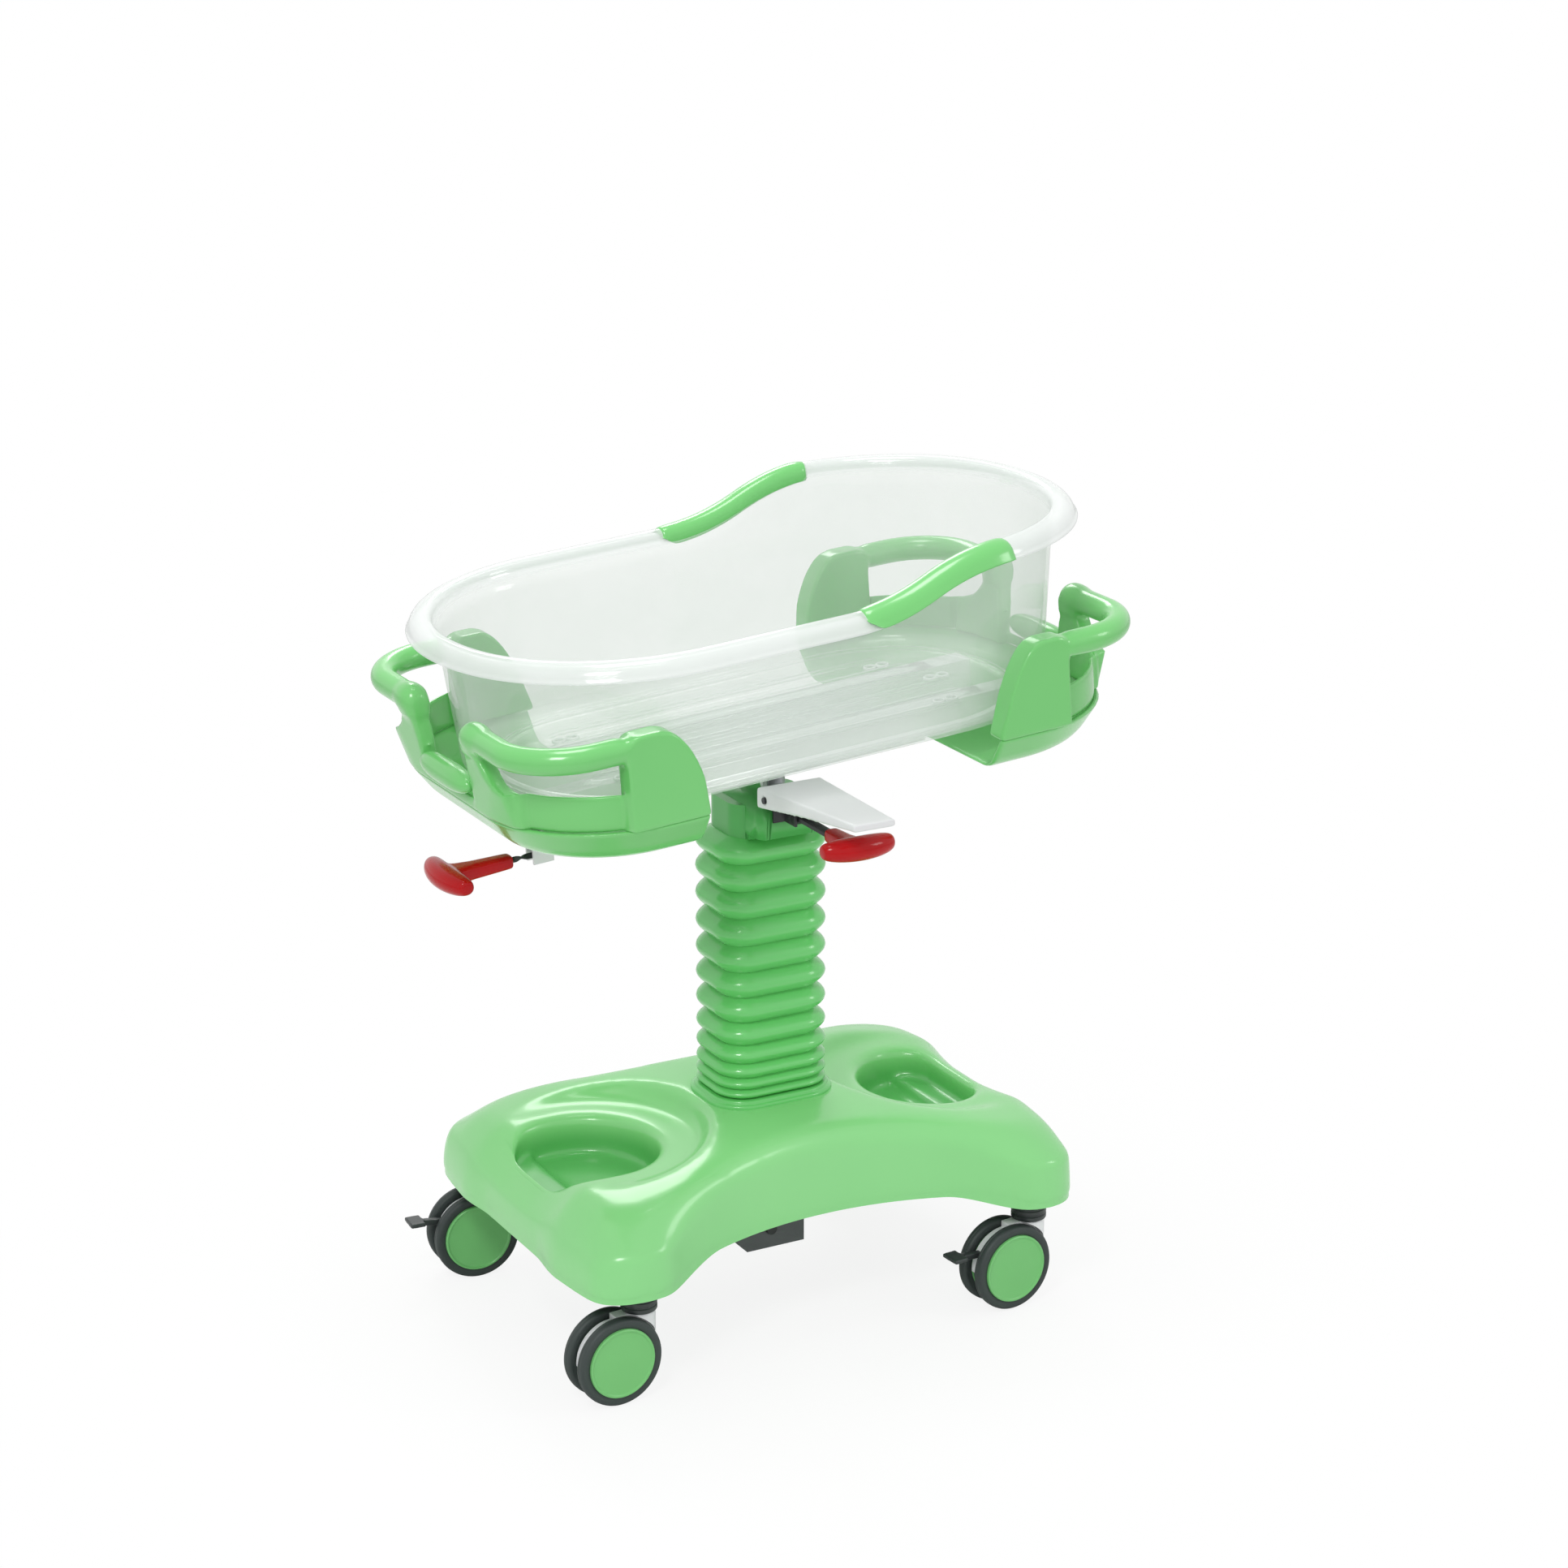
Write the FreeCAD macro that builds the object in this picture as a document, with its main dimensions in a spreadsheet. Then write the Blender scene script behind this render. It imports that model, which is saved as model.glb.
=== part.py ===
import FreeCAD, Part
import math
import os

import Sketcher
from FreeCAD import Placement, Rotation, Vector

# Hospital crib: a clear basin in two end holders on a tilting frame, on a telescopic column with a ribbed
# bellows, on a moulded base with four twin-wheel castors. Millimetres, +Z up. The origin is on the floor under
# the column, +X points to the head end and -Y to the side with the release levers.

# Driving sizes: name, value, meaning
SIZES = [
    ("stem_x", 247, "castor stem from the middle, along the crib"),
    ("stem_y", 181, "castor stem from the middle, across the crib"),
    ("wheel_radius", 50, "castor wheel"),
    ("wheel_trail", 33, "axle behind the castor stem"),
    ("wheel_inner_face", 8, "inner face of a wheel from the castor middle"),
    ("wheel_outer_face", 21.5, "outer face of a wheel from the castor middle"),
    ("disc_radius", 41.5, "wheel disc inside the tyre"),
    ("disc_proud", 1, "wheel disc stands out of the tyre"),
    ("tyre_round", 3, "rounding of the tyre shoulders"),
    ("axle_radius", 4, "wheel axle"),
    ("bore_play", 0.05, "radial play of a running fit"),
    ("seat_gap", 0.3, "gap between pieces that pass or face each other"),
    ("hood_radius", 36, "round part of the castor hood"),
    ("hood_top", 98.5, "top of the castor hood"),
    ("hood_neck", 34, "length of the hood under the collar"),
    ("hood_side_gap", 0.8, "gap between the hood and each wheel"),
    ("collar_radius", 20, "castor collar"),
    ("collar_top", 120.5, "top of the castor collar"),
    ("stem_radius", 5.5, "castor stem"),
    ("pedal_width", 13, "brake pedal across"),
    ("pedal_thick", 7, "brake pedal"),
    ("pedal_reach", 107, "brake pedal tip behind the castor stem"),
    ("pedal_pivot_back", 58, "brake pedal pivot behind the castor stem"),
    ("pedal_pivot_up", 68, "brake pedal pivot above the floor"),
    ("pedal_tip_up", 72, "brake pedal tip above the floor"),
    ("pedal_pin_radius", 2.5, "brake pedal pin"),
    ("pedal_eye", 5.5, "eye of a brake pedal"),
    ("foot_radius", 44, "foot of the base cover round a castor"),
    ("waist_y", 148, "half width of the base cover at its waist"),
    ("end_bulge", 12, "bulge of the ends of the base cover"),
    ("cover_bottom", 125, "lower edge of the base cover"),
    ("cover_top", 245, "highest point of the base cover"),
    ("crown_radius", 1350, "crown of the base cover"),
    ("cover_wall", 5, "wall of the base cover"),
    ("cover_round", 28, "rounding of the base cover's upper edge"),
    ("arch_rise", 16, "rise of the lower edge at the waist"),
    ("arch_half", 222, "half span of that arch"),
    ("arch_flat", 150, "half length of the level part of that arch"),
    ("cover_draft", 6, "draft of the base cover's walls"),
    ("dish_radius", 130, "round dish about a well"),
    ("dish_x", 216, "middle of a dish"),
    ("dish_floor", 215, "floor of a dish above the ground"),
    ("dish_round", 12, "rounding at the floor of a dish"),
    ("recess_half", 93, "half width of the recess in an end face"),
    ("recess_depth", 4, "depth of the recess in an end face"),
    ("recess_roll", 45, "rounding from the end face's recess to the top"),
    ("well_outer_x", 278, "flat side of the foot end's well"),
    ("well_head_x", 250, "flat side of the head end's well"),
    ("well_inner_x", 140, "round side of a well"),
    ("well_half_y", 82, "half width of a well"),
    ("well_corner", 42, "corner radius of a well"),
    ("well_floor", 168, "floor of a well"),
    ("well_step_x", 30, "step in a well's floor, from its flat side"),
    ("well_step_z", 12, "height of that step"),
    ("collar_seat", 240, "flat seat of the bellows collar"),
    ("frame_bottom", 129, "underside of the chassis tubes"),
    ("frame_height", 26, "chassis tube height"),
    ("frame_wall", 3, "chassis tube wall"),
    ("cross_tube_width", 40, "cross tube of the chassis"),
    ("cross_tube_half", 204, "half length of a cross tube"),
    ("beam_width", 80, "long beam of the chassis"),
    ("socket_wall", 5, "wall of a castor socket"),
    ("box_left", 68, "gas spring box, to the foot end"),
    ("box_right", 23, "gas spring box, to the head end"),
    ("box_half_y", 60, "half width of the gas spring box"),
    ("box_bottom", 70, "underside of the gas spring box"),
    ("box_chamfer", 18, "chamfer at the box's foot end"),
    ("bolt_radius", 6.5, "head of the box bolt"),
    ("bolt_height", 4, "height of the bolt head"),
    ("bolt_x", 20, "box bolt, to the foot end"),
    ("bolt_z", 93, "box bolt above the floor"),
    ("tube_outer", 38, "outer column tube, radius"),
    ("tube_wall", 3, "column tube wall"),
    ("tube_top", 405, "top of the outer column tube"),
    ("inner_tube_outer", 32, "inner column tube, radius"),
    ("inner_tube_bottom", 267, "lower end of the inner column tube"),
    ("bush_height", 30, "guide bush in the outer tube"),
    ("bush_flange", 4, "flange of the guide bush"),
    ("spring_radius", 14, "gas spring cylinder"),
    ("spring_wall", 2, "gas spring cylinder wall"),
    ("spring_top", 376, "top of the gas spring cylinder"),
    ("spring_rod_radius", 5, "gas spring rod"),
    ("piston_bottom", 272, "gas spring piston at the rest height"),
    ("piston_height", 10, "gas spring piston"),
    ("bellows_half_x", 69, "bellows over its ribs, half length"),
    ("bellows_half_y", 53, "bellows over its ribs, half width"),
    ("bellows_corner", 37, "corner radius over the ribs"),
    ("rib_depth", 9, "depth of a bellows rib"),
    ("bellows_wall", 3, "bellows wall at the foot of a rib"),
    ("bellows_collar_height", 10, "collar at the foot of the bellows"),
    ("bellows_collar_width", 7, "collar beyond the ribs"),
    ("bellows_top", 554, "top of the bellows"),
    ("head_bottom", 560, "underside of the head block, over its flange"),
    ("head_half_x", 38, "column head, half length"),
    ("head_front", 72, "column head, to the lever side"),
    ("head_back", 32, "column head, to the other side"),
    ("head_corner", 14, "corner radius of the column head"),
    ("head_top", 592, "top of the head block"),
    ("lug_half_x", 14, "pivot lug, half length and top radius"),
    ("lug_half_y", 25, "pivot lug, half width"),
    ("pivot_z", 612, "tilt pivot above the floor"),
    ("pivot_radius", 6, "tilt pivot pin"),
    ("pivot_head", 3, "head of the tilt pivot pin"),
    ("rest_tilt", 4.3, "tilt of the cradle in the photograph, degrees head up"),
    ("frame_plate_x", 170, "middle plate of the tilt frame, half length"),
    ("frame_plate_y", 72, "middle plate of the tilt frame, half width"),
    ("frame_plate_z", 633, "underside of the middle plate and the trays"),
    ("frame_plate", 4, "plate thickness of the tilt frame"),
    ("frame_ear", 6, "pivot ear of the tilt frame"),
    ("rail_half_x", 300, "rails of the tilt frame, half length"),
    ("rail_inner_y", 42, "rails of the tilt frame, inner side"),
    ("rail_width", 30, "rails of the tilt frame, width"),
    ("rail_wall", 2, "rails of the tilt frame, wall"),
    ("tub_bottom", 671, "underside of the tub"),
    ("tub_wall", 4, "wall of the tub"),
    ("tub_bottom_x", 333, "tub at its bottom, half length"),
    ("tub_bottom_y", 183, "tub at its bottom, half width"),
    ("tub_top_x", 353, "tub under its rim, half length"),
    ("tub_top_y", 206, "tub under its rim, half width"),
    ("tub_round", 14, "rounding round the tub's bottom"),
    ("rim_x", 378, "rim, half length"),
    ("rim_y", 232, "rim, half width"),
    ("rim_low", 846, "top of the rim at the foot end"),
    ("rim_high", 889, "top of the rim at the head end"),
    ("rim_slope_start", 8, "foot of the slope in the rim"),
    ("rim_slope_end", 196, "top of the slope in the rim"),
    ("rim_skirt", 24, "turned-down edge of the rim"),
    ("floor_rib_height", 5, "ribs in the tub's floor"),
    ("floor_rib_width", 14, "ribs in the tub's floor"),
    ("floor_rib_pitch", 38, "from rib to rib"),
    ("floor_rib_half", 235, "half length of a floor rib"),
    ("vent_radius", 5, "vent hole"),
    ("vent_x", 238, "outermost vent holes from the middle"),
    ("vent_pitch", 76, "from one row of vent holes to the next"),
    ("vent_set_back", 34, "vent holes of the side rows, nearer to the middle"),
    ("vent_step", 16, "from vent hole to vent hole in a row"),
    ("grip_wall", 3.5, "rim grip"),
    ("grip_overlap", 5, "rim grip beyond the slope"),
    ("grip_drop", 30, "rim grip down the outside"),
    ("holder_x", 366, "end holders, half length over the band"),
    ("holder_y", 230, "end holders, half width over the band"),
    ("holder_foot_x", 338, "end holders at their underside, half length"),
    ("holder_foot_y", 202, "end holders at their underside, half width"),
    ("holder_corner", 145, "corner radius of the end holders over the band"),
    ("holder_wall", 5, "wall of the end holders"),
    ("holder_inner_x", 174.5, "inner end of a holder from the middle"),
    ("holder_split", 673, "joint between tray and rail frame"),
    ("holder_sill", 712, "top of the band"),
    ("ear_outer_x", 264.5, "outer side of an ear"),
    ("ear_top", 774, "top of an ear"),
    ("ear_thick", 29, "thickness of an ear"),
    ("ear_corner", 46, "corner radius of an ear to the middle"),
    ("ear_round", 14, "corner radius of an ear to the handle"),
    ("handle_tube", 13, "corner handle tube, radius"),
    ("handle_z", 759.5, "corner handle above the floor"),
    ("handle_x", 367, "corner handle's outer run"),
    ("handle_y", 217, "corner handle's long run"),
    ("handle_bend", 72, "bend of a corner handle"),
    ("post_top_y", 80, "top of a post from the middle"),
    ("post_half", 12, "post at its top, half width"),
    ("post_foot_outer_y", 140, "foot of a post, side to the window"),
    ("post_thick", 16, "thickness of a post's foot"),
    ("post_flare", 60, "hollow edge of a post on the window side"),
    ("post_inset", 2, "post's top inside the handle tube"),
    ("roll_radius", 14, "padded roll at each end"),
    ("roll_half", 60, "padded roll, half length"),
    ("roll_round", 5, "rounding of the padded roll's ends"),
    ("roll_proud", 3, "middle of the padded roll beyond the band"),
    ("roll_z", 699, "padded roll above the floor"),
    ("tray_screw_radius", 5, "head of a tray screw"),
    ("tray_screw_head", 3, "height of a screw head"),
    ("tray_screw_shank", 2, "shank of a tray screw"),
    ("tray_screw_x", 205, "inner tray screws from the middle"),
    ("tray_screw_step", 75, "from tray screw to tray screw"),
    ("boss_radius", 8, "screw boss under the base cover"),
    ("boss_y", 118, "screw boss from the middle"),
    ("boss_depth", 18, "base screw in its boss"),
    ("paddle_left", 46, "release paddle, side to the foot end"),
    ("paddle_right", 34, "release paddle, side to the head end"),
    ("paddle_root", 76.5, "root of the paddle from the column axis"),
    ("paddle_tip", 263, "tip of the paddle from the column axis"),
    ("paddle_tip_half", 25, "half width of the paddle's tip"),
    ("paddle_root_top", 625, "top of the paddle at its root"),
    ("paddle_root_thick", 19, "paddle at its root"),
    ("paddle_tip_thick", 8, "paddle at its tip"),
    ("paddle_rise", 8, "rise of the paddle's top to its tip"),
    ("paddle_wall", 3, "walls of the hollow paddle"),
    ("paddle_hollow_end", 190, "end of the hollow from the column axis"),
    ("paddle_pin_y", 92, "paddle pin from the column axis"),
    ("paddle_pin_z", 614, "paddle pin above the floor"),
    ("paddle_pin_radius", 3.5, "paddle pin"),
    ("bracket_plate", 3, "plate of the lever bracket"),
    ("bracket_inset", 4, "ears of the lever bracket inside the paddle's walls"),
    ("bracket_ear_y", 99, "ears of the lever bracket from the column axis"),
    ("lever_z", 588, "height lever above the floor"),
    ("lever_pivot_y", 90, "height lever pivot from the column axis"),
    ("lever_bar_width", 12, "flat stem of the height lever"),
    ("lever_bar_thick", 5, "flat stem of the height lever"),
    ("lever_ear_gap", 7, "ear of the height lever from its middle"),
    ("lever_eye", 8, "eye of a lever"),
    ("lever_pin_radius", 3, "pin of a lever"),
    ("grip_neck_start", 158, "neck of the front handle from the column axis"),
    ("grip_bar_y", 212, "bar of the front handle from the column axis"),
    ("grip_bar_half", 48, "half length of a handle's bar"),
    ("grip_bar_radius", 15, "bar of a handle"),
    ("grip_neck_radius", 9, "thin end of a handle's neck"),
    ("tilt_pivot_x", 272, "tilt lever pivot, to the foot end"),
    ("tilt_lever_z", 584, "tilt lever above the floor, cradle level"),
    ("tilt_neck_start", 306, "neck of the tilt handle"),
    ("tilt_bar_x", 383, "bar of the tilt handle"),
    ("tilt_rod_radius", 4, "rod of the tilt lever"),
    ("tilt_bracket_half", 12, "bracket of the tilt lever, half length"),
    ("overrun", 5, "how far a cut runs past the solid"),
]

# Shares: dimensionless shape values
END_SHARE = 1.2
CORNER_SHARE = 0.927
BELLOWS_PITCH_SHARES = [0.36, 0.43, 0.55, 0.7, 0.87, 0.97, 0.98, 1.02, 1.05, 1.05, 1.03, 1.0]
ROUND_SHARES = [(0.0, 1.0), (0.134, 0.5), (0.5, 0.134), (1.0, 0.0)]
LEVEL_SHARE = 1e-4
RIB_SHARES = [(0.0, 1.0), (0.3, 0.0), (0.7, 0.0), (1.0, 1.0)]
NECK_SHARE = 0.92
CASTOR_YAWS = {"fl": 3.7, "fr": 4.9, "bl": -5.0, "br": 9.0}
CASTOR_SIDES = {"fl": (-1, -1), "fr": (1, -1), "bl": (-1, 1), "br": (1, 1)}
FLOOR_RIBS = 6

QUARTER = 90
HALF_TURN = 180

doc = FreeCAD.newDocument("Crib")
nodes = []


class Length:
    """A size that keeps its sheet expression, so that sums of sizes stay bound to the sheet."""

    def __init__(self, value, text):
        self.value = value
        self.text = text

    def __add__(self, other):
        other = as_length(other)
        return Length(self.value + other.value, f"({self.text} + {other.text})")

    def __sub__(self, other):
        other = as_length(other)
        return Length(self.value - other.value, f"({self.text} - {other.text})")

    def __mul__(self, other):
        other = as_length(other)
        return Length(self.value * other.value, f"({self.text} * {other.text})")

    def __truediv__(self, other):
        other = as_length(other)
        return Length(self.value / other.value, f"({self.text} / {other.text})")

    def __rmul__(self, other):
        return as_length(other) * self

    def __radd__(self, other):
        return as_length(other) + self

    def __rsub__(self, other):
        return as_length(other) - self

    def __neg__(self):
        return Length(-self.value, f"(-{self.text})")

    def root(self):
        return Length(math.sqrt(self.value), f"sqrt({self.text})")


def as_length(number):
    """Wrap a plain number, such as zero or a share, as a Length."""
    if isinstance(number, Length):
        return number
    return Length(float(number), repr(float(number)))


class Sheet:
    """The spreadsheet of driving sizes, read as attributes."""

    def __init__(self):
        self.cells = doc.addObject("Spreadsheet::Sheet", "Sizes")
        for row, (alias, value, meaning) in enumerate(SIZES, start=1):
            self.cells.set(f"A{row}", meaning)
            self.cells.set(f"B{row}", str(value))
            self.cells.setAlias(f"B{row}", alias)
        doc.recompute()

    def __getattr__(self, alias):
        return Length(float(self.cells.get(alias)), f"Sizes.{alias}")


def bind(item, prop, length):
    """Drive one property of a document object by a size."""
    length = as_length(length)
    item.setExpression(prop, length.text)


# Primitives

def box(name, x_span, y_span, z_span):
    """A block between (low, high) pairs."""
    solid = doc.addObject("Part::Box", name)
    for prop, span in (("Length", x_span), ("Width", y_span), ("Height", z_span)):
        bind(solid, prop, span[1] - span[0])
    put(solid, x_span[0], y_span[0], z_span[0])
    return solid


def put(solid, x, y, z):
    """Bind a solid's place."""
    bind(solid, "Placement.Base.x", x)
    bind(solid, "Placement.Base.y", y)
    bind(solid, "Placement.Base.z", z)


def turned(axis):
    """The rotation that lays a primitive's own Z along an axis."""
    if axis == "X":
        return Rotation(Vector(0, 1, 0), QUARTER)
    if axis == "Y":
        return Rotation(Vector(1, 0, 0), -QUARTER)
    return Rotation()


def rod(name, axis, start, radius, length):
    """A cylinder along an axis from its start point."""
    solid = doc.addObject("Part::Cylinder", name)
    solid.Placement = Placement(Vector(), turned(axis))
    bind(solid, "Radius", radius)
    bind(solid, "Height", length)
    put(solid, *start)
    return solid


def taper(name, axis, start, first_radius, second_radius, length):
    """A cone frustum along an axis from its start point."""
    solid = doc.addObject("Part::Cone", name)
    solid.Placement = Placement(Vector(), turned(axis))
    bind(solid, "Radius1", first_radius)
    bind(solid, "Radius2", second_radius)
    bind(solid, "Height", length)
    put(solid, *start)
    return solid


def ball(name, centre, radius):
    """A sphere."""
    solid = doc.addObject("Part::Sphere", name)
    bind(solid, "Radius", radius)
    put(solid, *centre)
    return solid


def bend(name, centre, bend_radius, tube_radius, first_angle):
    """A quarter of a level ring, from a first angle in degrees."""
    solid = doc.addObject("Part::Torus", name)
    solid.Angle3 = QUARTER
    solid.Placement = Placement(Vector(), Rotation(Vector(0, 0, 1), first_angle))
    bind(solid, "Radius1", bend_radius)
    bind(solid, "Radius2", tube_radius)
    put(solid, *centre)
    return solid


# Booleans

def fuse(name, parts):
    """One solid of several."""
    solid = doc.addObject("Part::MultiFuse", name)
    solid.Shapes = parts
    solid.Refine = True
    return solid


def cut(name, base, tools):
    """A solid less its tools."""
    tool = tools[0] if len(tools) == 1 else group(name + "_tools", tools)
    solid = doc.addObject("Part::Cut", name)
    solid.Base = base
    solid.Tool = tool
    solid.Refine = True
    return solid


def common(name, parts):
    """What several solids share."""
    solid = doc.addObject("Part::MultiCommon", name)
    solid.Shapes = parts
    solid.Refine = True
    return solid


def group(name, parts):
    """Separate solids in one object."""
    solid = doc.addObject("Part::Compound", name)
    solid.Links = parts
    return solid


def rounded(name, base, radius, chosen):
    """Fillet the edges that a test chooses."""
    doc.recompute()
    fillet = doc.addObject("Part::Fillet", name)
    fillet.Base = base
    edges = enumerate(base.Shape.Edges, start=1)
    fillet.Edges = [(index, radius.value, radius.value) for index, edge in edges if chosen(edge)]
    return fillet


def at_height(height):
    """Choose edges that lie level at a height."""
    slack = LEVEL_SHARE * height.value

    def chosen(edge):
        bounds = edge.BoundBox
        return abs(bounds.ZMin - height.value) < slack and abs(bounds.ZMax - height.value) < slack

    return chosen


def above(height):
    """Choose edges that lie above a height."""
    return lambda edge: edge.BoundBox.ZMin > height.value


# Sketches

def own_plane(body, role):
    """A body's own origin plane."""
    return next(item for item in body.Origin.OriginFeatures if item.Role == role + "_Plane")


def pin_point(sketch, index, end, x, y):
    """Fix a sketch point at sizes from the sketch's axes."""
    for kind, axis, length in (("DistanceX", -2, as_length(x)), ("DistanceY", -1, as_length(y))):
        if length.value == 0:
            sketch.addConstraint(Sketcher.Constraint("PointOnObject", index, end, axis))
            continue
        number = sketch.addConstraint(Sketcher.Constraint(kind, index, end, length.value))
        sketch.setExpression(f"Constraints[{number}]", length.text)


def draw_circle(sketch, x, y, radius):
    """A circle bound by its centre and radius."""
    place = Vector(as_length(x).value, as_length(y).value)
    index = sketch.addGeometry(Part.Circle(place, Vector(0, 0, 1), radius.value))
    pin_point(sketch, index, 3, x, y)
    number = sketch.addConstraint(Sketcher.Constraint("Radius", index, radius.value))
    sketch.setExpression(f"Constraints[{number}]", radius.text)


def arc_geometry(first, second, radius):
    """An arc between two points: its centre lies to the left if the radius is positive."""
    chord = second - first
    height = math.sqrt(max(radius * radius - chord.Length ** 2 / 4, 0))
    left = Vector(-chord.y, chord.x, 0).normalize()
    centre = (first + second) / 2 + left * math.copysign(height, radius)
    if radius < 0:
        first, second = second, first
    angles = [math.atan2(point.y - centre.y, point.x - centre.x) for point in (first, second)]
    if angles[1] < angles[0]:
        angles[1] += math.radians(2 * HALF_TURN)
    return Part.ArcOfCircle(Part.Circle(centre, Vector(0, 0, 1), abs(radius)), *angles)


def draw_outline(sketch, outline):
    """A closed outline of (x, y) or (x, y, radius) points, where a radius bends the run to the next point."""
    ends = []
    for number, point in enumerate(outline):
        following = outline[(number + 1) % len(outline)]
        first = Vector(as_length(point[0]).value, as_length(point[1]).value)
        second = Vector(as_length(following[0]).value, as_length(following[1]).value)
        if len(point) == 2:
            index = sketch.addGeometry(Part.LineSegment(first, second))
            ends.append((index, 1, 2))
            continue
        index = sketch.addGeometry(arc_geometry(first, second, point[2].value))
        ends.append((index, 1, 2) if point[2].value > 0 else (index, 2, 1))
    for number, (index, start, end) in enumerate(ends):
        following = ends[(number + 1) % len(ends)]
        sketch.addConstraint(Sketcher.Constraint("Coincident", index, end, following[0], following[1]))
        pin_point(sketch, index, start, outline[number][0], outline[number][1])
        if len(outline[number]) == 3:
            size = outline[number][2]
            size = size if size.value > 0 else -size
            bound = sketch.addConstraint(Sketcher.Constraint("Radius", index, size.value))
            sketch.setExpression(f"Constraints[{bound}]", size.text)


def add_sketch(body, role, outline, offset):
    """A sketch of an outline on one of the body's planes, moved along its normal."""
    sketch = body.newObject("Sketcher::SketchObject", body.Name + "_sketch")
    sketch.AttachmentSupport = [(own_plane(body, role), "")]
    sketch.MapMode = "FlatFace"
    bind(sketch, "AttachmentOffset.Base.z", offset)
    if isinstance(outline, tuple):
        draw_circle(sketch, *outline)
    else:
        draw_outline(sketch, outline)
    return sketch


def prism(name, role, outline, low, high):
    """A body padded from an outline between two levels along the plane's normal."""
    low, high = as_length(low), as_length(high)
    body = doc.addObject("PartDesign::Body", name)
    start = -high if role == "XZ" else low
    pad = body.newObject("PartDesign::Pad", name + "_pad")
    pad.Profile = add_sketch(body, role, outline, start)
    bind(pad, "Length", high - low)
    body.Tip = pad
    return body


def loft(name, role, sections, ruled=False):
    """A body lofted through (outline, level) pairs."""
    body = doc.addObject("PartDesign::Body", name)
    sketches = [add_sketch(body, role, outline, level) for outline, level in sections]
    feature = body.newObject("PartDesign::AdditiveLoft", name + "_loft")
    feature.Profile = sketches[0]
    feature.Sections = sketches[1:]
    feature.Ruled = ruled
    body.Tip = feature
    return body


def basin(name, foot, mouth, low, high, radius, plan):
    """A body with tapered sides and a rounded foot; foot and mouth are half sizes of its plan at low and high."""
    sections = []
    for level_share, inset_share in ROUND_SHARES:
        level = low + radius * level_share
        share = (level - low) / (high - low)
        inset = radius * inset_share
        half_x = foot[0] + (mouth[0] - foot[0]) * share - inset
        half_y = foot[1] + (mouth[1] - foot[1]) * share - inset
        sections.append((plan(half_x, half_y), level))
    sections.append((plan(*mouth), high))
    return loft(name, "XY", sections, ruled=True)


# Outlines

def rounded_rectangle(half_x, half_y, corner):
    """A rectangle about the axis with round corners."""
    return span_rectangle((-half_x, half_x), (-half_y, half_y), corner)


def span_rectangle(x_span, y_span, corner):
    """A rectangle between (low, high) pairs with round corners."""
    (left, right), (near, far) = x_span, y_span
    return [
        (left + corner, near), (right - corner, near, corner), (right, near + corner),
        (right, far - corner, corner), (right - corner, far), (left + corner, far, corner),
        (left, far - corner), (left, near + corner, corner),
    ]


def oval(half_x, half_y):
    """The tub's plan: straight sides, round corners and gently curved ends."""
    end, corner = END_SHARE * half_y, CORNER_SHARE * half_y
    centre_y = half_y - corner
    reach = ((end - corner) * (end - corner) - centre_y * centre_y).root()
    end_x = half_x - end
    corner_x = end_x + reach
    meet_x = end_x + end * reach / (end - corner)
    meet_y = end * centre_y / (end - corner)
    return [
        (meet_x, -meet_y, end), (meet_x, meet_y, corner), (corner_x, half_y), (-corner_x, half_y, corner),
        (-meet_x, meet_y, end), (-meet_x, -meet_y, corner), (-corner_x, -half_y), (corner_x, -half_y, corner),
    ]


def holder_plan(size):
    """The end holders' plan: round corners that stay concentric as the plan grows or shrinks."""
    return lambda half_x, half_y: rounded_rectangle(half_x, half_y, half_y - (size.holder_y - size.holder_corner))


def cover_outline(size, inset):
    """The base cover's plan: four round feet, curved ends and a waist on each long side."""
    foot, waist = size.foot_radius - inset, size.waist_y - inset
    step = waist - size.stem_y
    side = (size.stem_x * size.stem_x + step * step - foot * foot) / (2 * (foot - step))
    share = foot / (side + foot)
    meet_x = size.stem_x - size.stem_x * share
    meet_y = size.stem_y + (step + side) * share
    reach = foot + size.end_bulge
    end = (reach * reach + size.stem_y * size.stem_y - foot * foot) / (2 * size.end_bulge)
    end_share = foot / (end - foot)
    end_x = size.stem_x + (end - reach) * end_share
    end_y = size.stem_y + size.stem_y * end_share
    return [
        (end_x, -end_y, end), (end_x, end_y, foot), (meet_x, meet_y, -side), (-meet_x, meet_y, foot),
        (-end_x, end_y, end), (-end_x, -end_y, foot), (-meet_x, -meet_y, -side), (meet_x, -meet_y, foot),
    ]


def well_reach(size, side):
    """How far a well reaches to the crib's end: the head end's is shorter."""
    return size.well_head_x if side > 0 else size.well_outer_x


def well_outline(size, side, grow):
    """A well's plan: a flat side to the crib's end and a round side to the column."""
    outer, inner = well_reach(size, side) + grow, size.well_inner_x - grow
    half, corner = size.well_half_y + grow, size.well_corner + grow
    centre_y = half - corner
    reach = outer - corner - inner
    big = (reach * reach + centre_y * centre_y - corner * corner) / (2 * (reach - corner))
    centre_x = inner + big
    meet_x = centre_x + big * (reach - big) / (big - corner)
    meet_y = big * centre_y / (big - corner)
    right = [
        (outer, -centre_y), (outer, centre_y, corner), (meet_x, meet_y, big), (inner, as_length(0), big),
        (meet_x, -meet_y, corner),
    ]
    if side > 0:
        return right
    turned_points = [(-point[0], -point[1], *point[2:]) for point in right]
    return turned_points


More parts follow.
